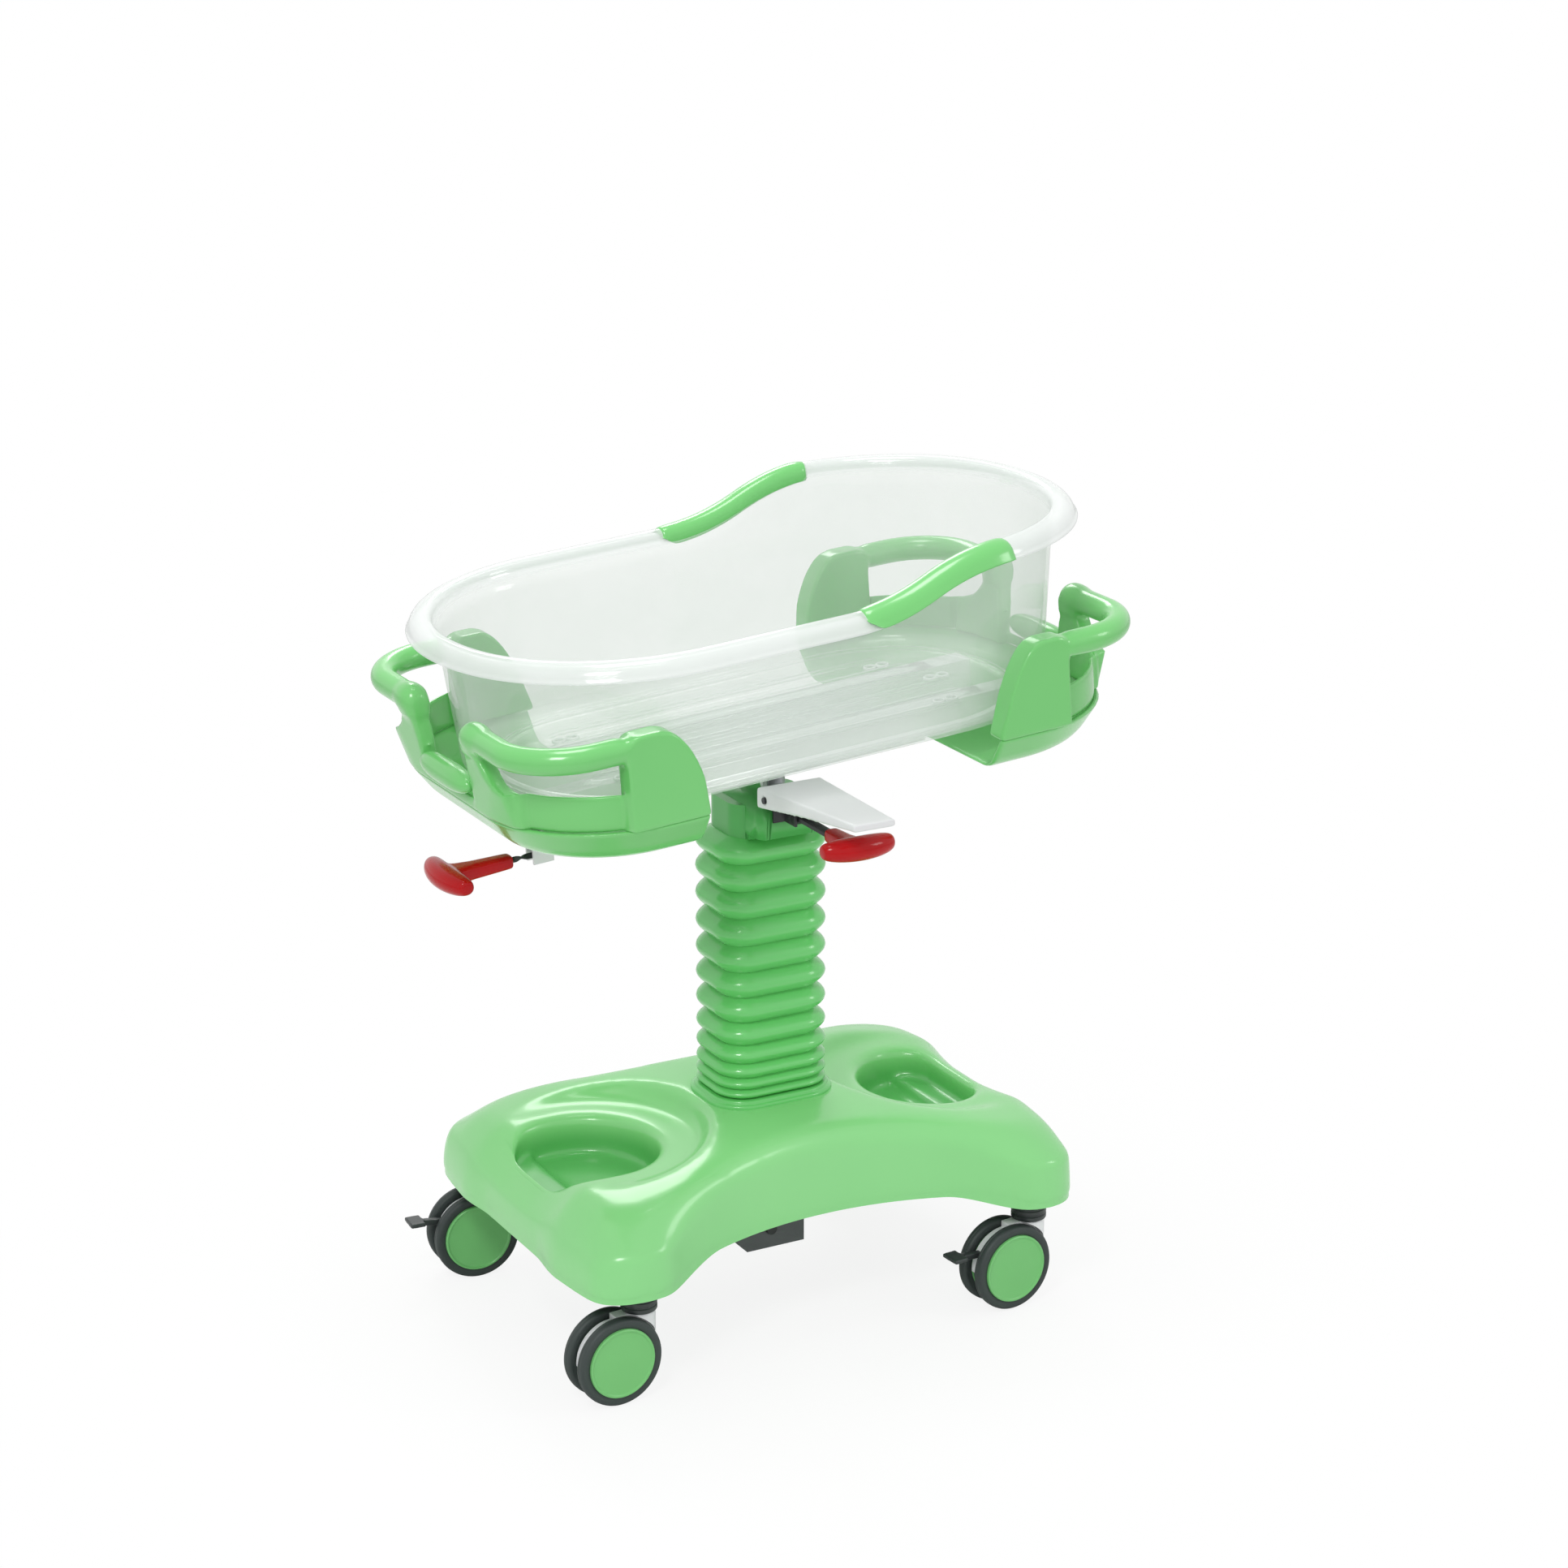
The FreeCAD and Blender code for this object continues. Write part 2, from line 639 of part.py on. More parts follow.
def rim_profile(size, lift):
    """The side view below the rim's top line, moved up by a lift."""
    reach = size.rim_x + size.overrun
    low, high = size.rim_low + lift, size.rim_high + lift
    run, rise = size.rim_slope_end - size.rim_slope_start, high - low
    radius = (run * run + rise * rise) / (4 * rise)
    middle_x = (size.rim_slope_start + size.rim_slope_end) / 2
    middle_z = (low + high) / 2
    floor = size.tub_bottom - size.overrun
    return [
        (-reach, floor), (reach, floor), (reach, high), (size.rim_slope_end, high, radius),
        (middle_x, middle_z, -radius), (size.rim_slope_start, low), (-reach, low),
    ]


# Nodes

def finish(item, node, placement=None):
    """Name a finished sub-part and place it."""
    item.Label = node
    if placement is not None:
        item.Placement = placement
    nodes.append(item)
    return item


def mirrored(name, item, axis):
    """A mirror image across the plane square to an axis."""
    mirror = doc.addObject("Part::Mirroring", name)
    mirror.Source = item
    mirror.Normal = Vector(1, 0, 0) if axis == "X" else Vector(0, 1, 0)
    return mirror


# Base

def make_base_cover(size):
    """The moulded cover: crowned top, dishes with wells, feet, and an open underside."""
    feet = (cover_outline(size, as_length(0)), size.cover_bottom)
    outer = loft("cover_outer", "XY", [feet, (cover_outline(size, size.cover_draft), size.cover_top)], ruled=True)
    crown_centre = (as_length(0), as_length(0), size.cover_top - size.crown_radius)
    crown = ball("cover_crown", crown_centre, size.crown_radius)
    shell = common("cover_crowned", [outer, crown])
    shell = rounded("cover_rounded", shell, size.cover_round, above(size.well_floor))
    inner_outline = cover_outline(size, size.cover_wall + size.cover_draft)
    cavity_top = size.dish_floor - size.cover_wall
    low = size.cover_bottom - size.overrun
    cavity = common("cover_cavity_crowned", [
        prism("cover_cavity", "XY", inner_outline, low, cavity_top),
        ball("cavity_crown", crown_centre, size.crown_radius - size.cover_round / 2),
    ])
    cavity = cut("cover_cavity_rolled", cavity, end_recesses(size, "cavity", size.cover_wall))
    middle = box(
        "cover_middle", (size.dish_radius - size.dish_x, size.dish_x - size.dish_radius),
        (-size.dish_x / 2, size.dish_x / 2), (cavity_top - size.overrun, size.collar_seat - size.cover_wall),
    )
    cups, wells, dishes = [], [], []
    for side, tag in ((-1, "foot"), (1, "head")):
        cup_floor = size.well_floor - size.cover_wall
        cups.append(prism(f"cup_{tag}", "XY", well_outline(size, side, size.cover_wall), cup_floor, size.dish_floor))
        wells.append(make_well(size, side, tag))
        dishes.append(make_dish(size, side, tag))
    bosses, holes = [], []
    for tag, (x_side, y_side) in CASTOR_SIDES.items():
        x, y, foot = size.stem_x * x_side, size.boss_y * y_side, size.frame_bottom + size.frame_height
        bosses.append(rod(f"boss_{tag}", "Z", (x, y, foot), size.boss_radius, cavity_top - foot + size.overrun))
        holes.append(rod(f"boss_hole_{tag}", "Z", (x, y, low), size.tray_screw_shank + size.bore_play,
                         foot + size.boss_depth - low))
    holes.append(rod("column_hole", "Z", (as_length(0), as_length(0), low), size.tube_outer + size.seat_gap,
                     size.cover_top))
    hollow = cut("cover_hollow_cups", fuse("cover_hollow", [cavity, middle]), cups + bosses)
    seat = prism("collar_seat_cut", "XY", rounded_rectangle(*collar_half_sizes(size)), size.collar_seat,
                 size.cover_top + size.overrun)
    ends = end_recesses(size, "end", as_length(0))
    steps = {"hollow": [hollow], "arch": [arch_tool(size)], "dishes": dishes, "wells": wells, "ends": ends,
             "seat": [seat], "holes": holes}
    for name, tools in steps.items():
        shell = cut(f"cover_{name}_cut", shell, tools)
    finish(shell, "base_cover")


def make_well(size, side, tag):
    """A well with its stepped floor."""
    well = prism(f"well_{tag}", "XY", well_outline(size, side, as_length(0)), size.well_floor, size.cover_top)
    edge, reach = well_reach(size, side) - size.well_step_x, well_reach(size, side) + size.overrun
    span = (edge, reach) if side > 0 else (-reach, -edge)
    step = box(f"well_step_{tag}", span, (-size.well_half_y, size.well_half_y),
               (size.well_floor - size.overrun, size.well_floor + size.well_step_z))
    return cut(f"well_stepped_{tag}", well, [step])


def end_recesses(size, name, inset):
    """The recess between the feet of each end face, rolled over to the top, moved in by an inset."""
    face = size.stem_x + size.foot_radius + size.end_bulge - size.recess_depth - inset
    reach, low = face + size.recess_depth + inset + size.overrun, size.cover_bottom - 2 * size.overrun
    top, roll = size.dish_floor - inset, size.recess_roll - inset
    view = [
        (face, low), (reach, low), (reach, size.cover_top), (face - roll, size.cover_top), (face - roll, top, -roll),
        (face, top - roll),
    ]
    half = size.recess_half + inset
    head = prism(f"{name}_recess", "XZ", view, -half, half)
    return [head, mirrored(f"{name}_recess_foot", head, "X")]


def make_dish(size, side, tag):
    """The round dish about a well, with a rounded floor."""
    top = size.cover_top + size.overrun
    start = (size.dish_x * side, as_length(0), size.dish_floor)
    dish = rod(f"dish_{tag}", "Z", start, size.dish_radius, top - size.dish_floor)
    return rounded(f"dish_round_{tag}", dish, size.dish_round, at_height(size.dish_floor))


def arch_tool(size):
    """The long low arch in the lower edge of both long sides."""
    low, top, half, flat = size.cover_bottom, size.cover_bottom + size.arch_rise, size.arch_half, size.arch_flat
    shoulder = ((half - flat) * (half - flat) + size.arch_rise * size.arch_rise) / (2 * size.arch_rise)
    view = [
        (-half, low - size.overrun), (half, low - size.overrun), (half, low, shoulder), (flat, top),
        (-flat, top, shoulder), (-half, low),
    ]
    reach = size.stem_y + size.foot_radius + size.overrun
    return prism("arch_tool", "XZ", view, -reach, reach)


def make_chassis(size):
    """Two cross tubes and a beam of steel, with sockets for the castor stems."""
    low, high = size.frame_bottom, size.frame_bottom + size.frame_height
    wall, half = size.frame_wall, size.cross_tube_width / 2
    solids, hollows = [], []
    inner_x = size.stem_x - half
    beam = box("beam", (-inner_x, inner_x), (-size.beam_width / 2, size.beam_width / 2), (low, high))
    solids.append(beam)
    hollows.append(box("beam_hollow", (-inner_x + wall, inner_x - wall),
                       (wall - size.beam_width / 2, size.beam_width / 2 - wall), (low + wall, high - wall)))
    for side, tag in ((-1, "foot"), (1, "head")):
        centre = size.stem_x * side
        span = (centre - half, centre + half)
        solids.append(box(f"cross_{tag}", span, (-size.cross_tube_half, size.cross_tube_half), (low, high)))
        hollows.append(box(f"cross_hollow_{tag}", (span[0] + wall, span[1] - wall),
                           (-size.cross_tube_half + wall, size.cross_tube_half - wall), (low + wall, high - wall)))
    for tag, (x_side, y_side) in CASTOR_SIDES.items():
        start = (size.stem_x * x_side, size.stem_y * y_side, low - size.overrun)
        radius = size.stem_radius + size.bore_play + size.socket_wall
        hollows.append(rod(f"socket_hole_{tag}", "Z", start, radius, high - low + 2 * size.overrun))
        screw = (size.stem_x * x_side, size.boss_y * y_side, low - size.overrun)
        hollows.append(rod(f"screw_hole_{tag}", "Z", screw, size.tray_screw_shank + size.seat_gap,
                           high - low + 2 * size.overrun))
    hollows.append(rod("spring_foot_hole", "Z", (as_length(0), as_length(0), low - size.overrun),
                       size.spring_radius + size.seat_gap, high - low + 2 * size.overrun))
    finish(cut("chassis", fuse("chassis_tubes", solids), hollows), "chassis_frame")
    sockets = []
    foot = size.collar_top + size.seat_gap
    for tag, (x_side, y_side) in CASTOR_SIDES.items():
        start = (size.stem_x * x_side, size.stem_y * y_side, foot)
        outer = rod(f"socket_{tag}", "Z", start, size.stem_radius + size.bore_play + size.socket_wall, high - foot)
        bore = rod(f"socket_bore_{tag}", "Z", (start[0], start[1], foot - size.overrun),
                   size.stem_radius + size.bore_play, high - foot + 2 * size.overrun)
        sockets.append(cut(f"socket_cut_{tag}", outer, [bore]))
    finish(group("sockets", sockets), "castor_sockets")


def make_spring_box(size):
    """The steel box under the beam that carries the foot of the gas spring, and its bolts."""
    low, high, wall = size.box_bottom, size.frame_bottom, size.frame_wall
    chamfer = size.box_chamfer
    side_view = [
        (-size.box_left + chamfer, low), (size.box_right, low), (size.box_right, high), (-size.box_left, high),
        (-size.box_left, low + chamfer),
    ]
    outer = prism("box_outer", "XZ", side_view, -size.box_half_y, size.box_half_y)
    inner = box("box_inner", (wall + chamfer - size.box_left, size.box_right - wall),
                (wall - size.box_half_y, size.box_half_y - wall), (low + wall, high + size.overrun))
    hole = rod("box_bolt_hole", "Y", (-size.bolt_x, -size.box_half_y - size.overrun, size.bolt_z),
               size.tray_screw_shank + size.bore_play, 2 * size.box_half_y + 2 * size.overrun)
    finish(cut("spring_box", outer, [inner, hole]), "column_mount_box")
    bolts = []
    for side, tag in ((-1, "front"), (1, "back")):
        outside = size.box_half_y * side
        head_start = outside - size.bolt_height if side < 0 else outside
        head = rod(f"bolt_head_{tag}", "Y", (-size.bolt_x, head_start, size.bolt_z), size.bolt_radius, size.bolt_height)
        reach = size.bolt_height + size.frame_wall + size.bolt_height
        shank_start = head_start if side < 0 else outside - size.frame_wall - size.bolt_height
        shank = rod(f"bolt_shank_{tag}", "Y", (-size.bolt_x, shank_start, size.bolt_z), size.tray_screw_shank, reach)
        bolts.append(fuse(f"bolt_{tag}", [head, shank]))
    finish(group("box_bolts", bolts), "mount_box_bolts")


def tube(name, low, high, outer, inner):
    """An upright tube on the column's axis."""
    wall = rod(name + "_outer", "Z", (as_length(0), as_length(0), low), outer, high - low)
    bore = rod(name + "_bore", "Z", (as_length(0), as_length(0), low - inner), inner, high - low + inner + inner)
    return cut(name, wall, [bore])


def make_column_foot(size):
    """The fixed column tube, its guide bush, the gas spring cylinder and the bellows collar."""
    beam_top = size.frame_bottom + size.frame_height
    bore = size.tube_outer - size.tube_wall
    finish(tube("outer_tube", beam_top, size.tube_top, size.tube_outer, bore), "column_outer_tube")
    sleeve = tube("bush_sleeve", size.tube_top - size.bush_height, size.tube_top + size.bush_flange,
                  bore, size.inner_tube_outer + size.bore_play)
    flange = tube("bush_flange_ring", size.tube_top, size.tube_top + size.bush_flange,
                  size.tube_outer, size.inner_tube_outer + size.bore_play)
    finish(fuse("bush", [sleeve, flange]), "column_guide_bush")
    low = size.box_bottom + size.frame_wall
    body = rod("spring_body", "Z", (as_length(0), as_length(0), low), size.spring_radius, size.spring_top - low)
    chamber = rod("spring_chamber", "Z", (as_length(0), as_length(0), beam_top),
                  size.spring_radius - size.spring_wall, size.spring_top - size.spring_wall - beam_top)
    neck = rod("spring_neck", "Z", (as_length(0), as_length(0), beam_top),
               size.spring_rod_radius + size.bore_play, size.spring_top)
    finish(cut("spring_cylinder", body, [chamber, neck]), "gas_spring_cylinder")
    half_x, half_y, corner = collar_half_sizes(size)
    gap = size.seat_gap
    outer = prism("collar_outer", "XY", rounded_rectangle(half_x - gap, half_y - gap, corner),
                  size.collar_seat, size.collar_seat + size.bellows_collar_height)
    inner = rod("collar_bore", "Z", (as_length(0), as_length(0), size.collar_seat - size.overrun),
                size.tube_outer + size.seat_gap, size.bellows_collar_height + 2 * size.overrun)
    finish(cut("bellows_collar_ring", outer, [inner]), "bellows_collar")


def collar_half_sizes(size):
    """Half length, half width and corner radius of the collar's seat."""
    width = size.bellows_collar_width
    return size.bellows_half_x + width, size.bellows_half_y + width, size.bellows_corner + width


def make_base_screws(size):
    """Four screws from below through the cross tubes into the cover's bosses."""
    screws = []
    for tag, (x_side, y_side) in CASTOR_SIDES.items():
        x, y = size.stem_x * x_side, size.boss_y * y_side
        head = rod(f"base_screw_head_{tag}", "Z", (x, y, size.frame_bottom - size.tray_screw_head),
                   size.tray_screw_radius, size.tray_screw_head)
        shank = rod(f"base_screw_shank_{tag}", "Z", (x, y, size.frame_bottom - size.tray_screw_head),
                    size.tray_screw_shank, size.tray_screw_head + size.frame_height + size.boss_depth)
        screws.append(fuse(f"base_screw_{tag}", [head, shank]))
    finish(group("base_screw_set", screws), "base_screws")


# Castors

def make_castor(size, tag):
    """A twin-wheel castor: stem with collar, hood, axle, two tyres and two wheel discs."""
    x_side, y_side = CASTOR_SIDES[tag]
    place = Placement(
        Vector((size.stem_x * x_side).value, (size.stem_y * y_side).value, 0),
        Rotation(Vector(0, 0, 1), CASTOR_YAWS[tag]),
    )
    zero = as_length(0)
    collar_foot = (zero, zero, size.hood_top)
    collar = rod(f"{tag}_collar", "Z", collar_foot, size.collar_radius, size.collar_top - size.hood_top)
    stem = rod(f"{tag}_stem", "Z", collar_foot, size.stem_radius,
               size.frame_bottom + size.frame_height - size.hood_top)
    finish(fuse(f"{tag}_stem_set", [collar, stem]), f"castor_{tag}_stem", place)
    half = size.wheel_inner_face - size.hood_side_gap
    disc = rod(f"{tag}_hood_disc", "Y", (-size.wheel_trail, -half, size.wheel_radius), size.hood_radius, half + half)
    neck = [
        (-size.wheel_trail, size.wheel_radius), (size.hood_neck / 2, size.wheel_radius + size.hood_radius / 2),
        (size.hood_neck / 2, size.hood_top), (-size.wheel_trail, size.hood_top),
    ]
    plate = prism(f"{tag}_hood_neck", "XZ", neck, -half, half)
    shaft_hole = rod(f"{tag}_hood_bore", "Y", (-size.wheel_trail, -size.wheel_radius, size.wheel_radius),
                     size.axle_radius + size.bore_play, size.wheel_radius + size.wheel_radius)
    hood = cut(f"{tag}_hood", fuse(f"{tag}_hood_solid", [disc, plate]), [shaft_hole])
    if tag in ("fr", "bl"):
        make_pedal(size, tag, place, half)
        pin = rod(f"{tag}_pedal_pin", "Y", (-size.pedal_pivot_back, -half, size.pedal_pivot_up), size.pedal_pin_radius,
                  half + half)
        hood = fuse(f"{tag}_hood_pinned", [cut(f"{tag}_hood_slotted", hood, [pedal_slot(size, tag, half)]), pin])
    finish(hood, f"castor_{tag}_hood", place)
    outer = size.wheel_outer_face - size.disc_proud
    axle = rod(f"{tag}_axle", "Y", (-size.wheel_trail, -outer, size.wheel_radius), size.axle_radius, outer + outer)
    finish(axle, f"castor_{tag}_axle")
    axle_offset = Vector((-size.wheel_trail).value, (-outer).value, size.wheel_radius.value)
    axle.setExpression("Placement.Base.x", None)
    axle.setExpression("Placement.Base.y", None)
    axle.setExpression("Placement.Base.z", None)
    axle.Placement = place * Placement(axle_offset, turned("Y"))
    tyres, discs = [], []
    for side, name in ((-1, "near"), (1, "far")):
        tyres.append(make_tyre(size, f"{tag}_{name}", side))
        discs.append(make_disc(size, f"{tag}_{name}", side))
    finish(group(f"{tag}_tyres", tyres), f"castor_{tag}_tyres", place)
    finish(group(f"{tag}_discs", discs), f"castor_{tag}_discs", place)


def make_tyre(size, name, side):
    """A tyre with rounded shoulders, open where its disc sits."""
    start = size.wheel_inner_face if side > 0 else -size.wheel_outer_face
    width = size.wheel_outer_face - size.wheel_inner_face
    centre = (-size.wheel_trail, start, size.wheel_radius)
    tyre = rod(f"{name}_tyre", "Y", centre, size.wheel_radius, width)
    tyre = rounded(f"{name}_tyre_round", tyre, size.tyre_round, lambda edge: edge.Curve.TypeId == "Part::GeomCircle")
    bore = rod(f"{name}_tyre_bore", "Y", (-size.wheel_trail, start - size.overrun, size.wheel_radius),
               size.disc_radius, width + 2 * size.overrun)
    return cut(f"{name}_tyre_ring", tyre, [bore])


def make_disc(size, name, side):
    """A wheel disc that fills its tyre and runs on the axle."""
    width = size.wheel_outer_face + size.disc_proud - size.wheel_inner_face
    start = size.wheel_inner_face if side > 0 else -size.wheel_outer_face - size.disc_proud
    disc = rod(f"{name}_disc", "Y", (-size.wheel_trail, start, size.wheel_radius), size.disc_radius, width)
    depth = size.wheel_outer_face - size.disc_proud + size.seat_gap - size.wheel_inner_face
    bore_start = size.wheel_inner_face - size.overrun if side > 0 else -size.wheel_inner_face - depth
    bore = rod(f"{name}_disc_bore", "Y", (-size.wheel_trail, bore_start, size.wheel_radius),
               size.axle_radius + size.bore_play, depth + size.overrun)
    return cut(f"{name}_disc_cut", disc, [bore])


def make_pedal(size, tag, place, half):
    """A brake pedal that turns on a pin hole at the back of the hood."""
    back, reach, low, high = size.pedal_pivot_back, size.pedal_reach, size.pedal_pivot_up, size.pedal_tip_up
    thick = size.pedal_thick / 2
    side_view = [
        (-reach, high - thick), (-back, low - thick), (-back, low + thick), (-reach, high + thick, size.pedal_thick),
    ]
    arm_half = half - size.bracket_plate
    arm = prism(f"{tag}_pedal_arm", "XZ", side_view, -arm_half, arm_half)
    eye = rod(f"{tag}_pedal_eye", "Y", (-back, -arm_half, low), size.pedal_eye, arm_half + arm_half)
    toe = box(f"{tag}_pedal_toe", (-reach - thick, -reach + 2 * size.pedal_thick),
              (-size.pedal_width, size.pedal_width), (high - thick / 2, high + thick))
    hole = rod(f"{tag}_pedal_bore", "Y", (-back, -half, low), size.pedal_pin_radius + size.bore_play, half + half)
    finish(cut(f"{tag}_pedal", fuse(f"{tag}_pedal_solid", [arm, eye, toe]), [hole]), f"brake_pedal_{tag}", place)


def pedal_slot(size, tag, half):
    """The slot that a brake pedal needs in its hood."""
    arm_half = half - size.bracket_plate + size.seat_gap
    back, low = size.pedal_pivot_back, size.pedal_pivot_up
    return box(f"{tag}_pedal_slot", (-size.pedal_reach, 2 * size.pedal_eye - back), (-arm_half, arm_half),
               (low - 2 * size.pedal_thick, low + size.wheel_radius))


# Lifted column

def bellows_outline(size, rib):
    """A section of the bellows: a rib share of one is its foot, of zero its crest."""
    depth = size.rib_depth * rib
    return rounded_rectangle(size.bellows_half_x - depth, size.bellows_half_y - depth, size.bellows_corner - depth)


def make_bellows(size):
    """The ribbed sleeve round the column, with its ribs closer together at its foot."""
    low = size.collar_seat + size.bellows_collar_height
    height = size.bellows_top - low
    total = sum(BELLOWS_PITCH_SHARES)
    level, ribs = low, []
    for number, pitch_share in enumerate(BELLOWS_PITCH_SHARES):
        pitch = height * (pitch_share / total)
        sections = [(bellows_outline(size, rib), level + pitch * share) for share, rib in RIB_SHARES]
        ribs.append(loft(f"rib_{number}", "XY", sections, ruled=True))
        level = level + pitch
    sleeve = fuse("bellows_ribs", ribs)
    bore = size.rib_depth + size.bellows_wall
    inside = rounded_rectangle(size.bellows_half_x - bore, size.bellows_half_y - bore, size.bellows_corner - bore)
    hollow = prism("bellows_bore", "XY", inside, low - size.overrun, size.bellows_top + size.overrun)
    finish(cut("bellows_sleeve", sleeve, [hollow]), "bellows")


def make_column_head(size):
    """The inner tube, the gas spring rod and the head block with its pivot lug."""
    zero = as_length(0)
    bore = size.inner_tube_outer - size.tube_wall
    finish(tube("inner_tube", size.inner_tube_bottom, size.bellows_top, size.inner_tube_outer, bore),
           "column_inner_tube")
    piston_radius = size.spring_radius - size.spring_wall - size.bore_play
    piston = rod("piston", "Z", (zero, zero, size.piston_bottom), piston_radius, size.piston_height)
    shaft = rod("piston_rod", "Z", (zero, zero, size.piston_bottom), size.spring_rod_radius,
                size.bellows_top - size.piston_bottom)
    finish(fuse("spring_rod", [piston, shaft]), "gas_spring_rod")
    foot = size.rib_depth
    flange = prism(
        "head_flange", "XY",
        rounded_rectangle(size.bellows_half_x - foot, size.bellows_half_y - foot, size.bellows_corner - foot),
        size.bellows_top, size.head_bottom,
    )
    block_plan = span_rectangle((-size.head_half_x, size.head_half_x), (-size.head_front, size.head_back),
                                size.head_corner)
    block = prism("head_block", "XY", block_plan, size.head_bottom, size.head_top)
    lug_view = [
        (-size.lug_half_x, size.head_bottom), (size.lug_half_x, size.head_bottom),
        (size.lug_half_x, size.pivot_z, size.lug_half_x), (zero, size.pivot_z + size.lug_half_x, size.lug_half_x),
        (-size.lug_half_x, size.pivot_z),
    ]
    lug = prism("head_lug", "XZ", lug_view, -size.lug_half_y, size.lug_half_y)
    pivot_hole = rod("lug_hole", "Y", (zero, -size.head_front, size.pivot_z), size.pivot_radius + size.bore_play,
                     size.head_front + size.head_front)
    finish(cut("head", fuse("head_solid", [flange, block, lug]), [pivot_hole]), "column_head")
    ear_outside = size.lug_half_y + size.seat_gap + size.frame_ear + size.seat_gap
    pin = rod("pivot_pin_shaft", "Y", (zero, -ear_outside, size.pivot_z), size.pivot_radius, ear_outside + ear_outside)
    heads = [
        rod("pivot_pin_front", "Y", (zero, -ear_outside - size.pivot_head, size.pivot_z),
            size.pivot_radius + size.pivot_head, size.pivot_head),
        rod("pivot_pin_back", "Y", (zero, ear_outside, size.pivot_z),
            size.pivot_radius + size.pivot_head, size.pivot_head),
    ]
    finish(fuse("pivot_pin", [pin] + heads), "tilt_pivot_pin")


# Levers on the column head

def make_lever_bracket(size):
    """The black bracket on the column head with ears for the paddle and the height lever, and their pins."""
    plate, front = size.bracket_plate, size.head_front
    left = size.paddle_left - size.paddle_wall - size.bracket_inset
    right = size.paddle_right - size.paddle_wall - size.bracket_inset
    ear_low = size.paddle_pin_z - size.lever_eye
    ear_high = size.paddle_pin_z + size.paddle_pin_radius + plate / 2
    back = box("bracket_back", (-size.head_half_x + size.head_corner, size.head_half_x - size.head_corner),
               (-front - plate, -front), (size.lever_z - size.lever_eye, ear_high))
    shelf = box("bracket_shelf", (-left, right), (-front - plate, -front), (ear_low, ear_high))
    solids = [back, shelf]
    for low_x, name in ((-left, "left"), (right - plate, "right")):
        solids.append(box(f"bracket_ear_{name}", (low_x, low_x + plate), (-size.bracket_ear_y, -front),
                          (ear_low, ear_high)))
    gap = size.lever_ear_gap
    for low_x, name in ((-gap - plate, "left"), (gap, "right")):
        solids.append(box(f"lever_ear_{name}", (low_x, low_x + plate), (-size.lever_pivot_y - size.lever_eye, -front),
                          (size.lever_z - size.lever_eye, size.lever_z + size.lever_eye)))
    pin_hole = rod("bracket_pin_hole", "X", (-left - size.overrun, -size.paddle_pin_y, size.paddle_pin_z),
                   size.paddle_pin_radius, left + right + 2 * size.overrun)
    lever_hole = rod("lever_pin_hole", "X", (-gap - plate - size.overrun, -size.lever_pivot_y, size.lever_z),
                     size.lever_pin_radius, 2 * gap + 2 * plate + 2 * size.overrun)
    finish(cut("bracket", fuse("bracket_solid", solids), [pin_hole, lever_hole]), "lever_bracket")
    pin_end = (-size.paddle_left - size.seat_gap, -size.paddle_pin_y, size.paddle_pin_z)
    paddle_pin = rod("paddle_pin_shaft", "X", pin_end, size.paddle_pin_radius,
                     size.paddle_left + size.paddle_right + 2 * size.seat_gap)
    lever_pin = rod("lever_pin_shaft", "X", (-gap - plate, -size.lever_pivot_y, size.lever_z),
                    size.lever_pin_radius, 2 * gap + 2 * plate)
    finish(group("pins", [paddle_pin, lever_pin]), "lever_pins")


def make_paddle(size):
    """The white release paddle: a hollow wedge hinged at its root."""
    root = span_rectangle((-size.paddle_left, size.paddle_right),
                          (size.paddle_root_top - size.paddle_root_thick, size.paddle_root_top), size.paddle_wall)
    middle = (size.paddle_right - size.paddle_left) / 2
    tip_top = size.paddle_root_top + size.paddle_rise
    tip = span_rectangle((middle - size.paddle_tip_half, middle + size.paddle_tip_half),
                         (tip_top - size.paddle_tip_thick, tip_top), size.paddle_wall)
    wedge = loft("paddle_wedge", "XZ", [(root, size.paddle_root), (tip, size.paddle_tip)], ruled=True)
    wall = size.paddle_wall
    hollow_root = [
        (-size.paddle_left + wall, size.paddle_root_top - size.paddle_root_thick - size.overrun),
        (size.paddle_right - wall, size.paddle_root_top - size.paddle_root_thick - size.overrun),
        (size.paddle_right - wall, size.paddle_root_top - wall),
        (-size.paddle_left + wall, size.paddle_root_top - wall),
    ]
    hollow_top = size.paddle_root_top - wall / 2
    hollow_half = size.paddle_tip_half
    hollow_tip = [
        (middle - hollow_half, size.paddle_root_top - size.paddle_root_thick - size.overrun),
        (middle + hollow_half, size.paddle_root_top - size.paddle_root_thick - size.overrun),
        (middle + hollow_half, hollow_top),
        (middle - hollow_half, hollow_top),
    ]
    hollow = loft("paddle_hollow", "XZ", [(hollow_root, size.paddle_root - size.overrun),
                                          (hollow_tip, size.paddle_hollow_end)], ruled=True)
    hole = rod("paddle_hole", "X", (-size.paddle_left - size.overrun, -size.paddle_pin_y, size.paddle_pin_z),
               size.paddle_pin_radius + size.bore_play, size.paddle_left + size.paddle_right + 2 * size.overrun)
    finish(cut("paddle", wedge, [hollow, hole]), "release_paddle")


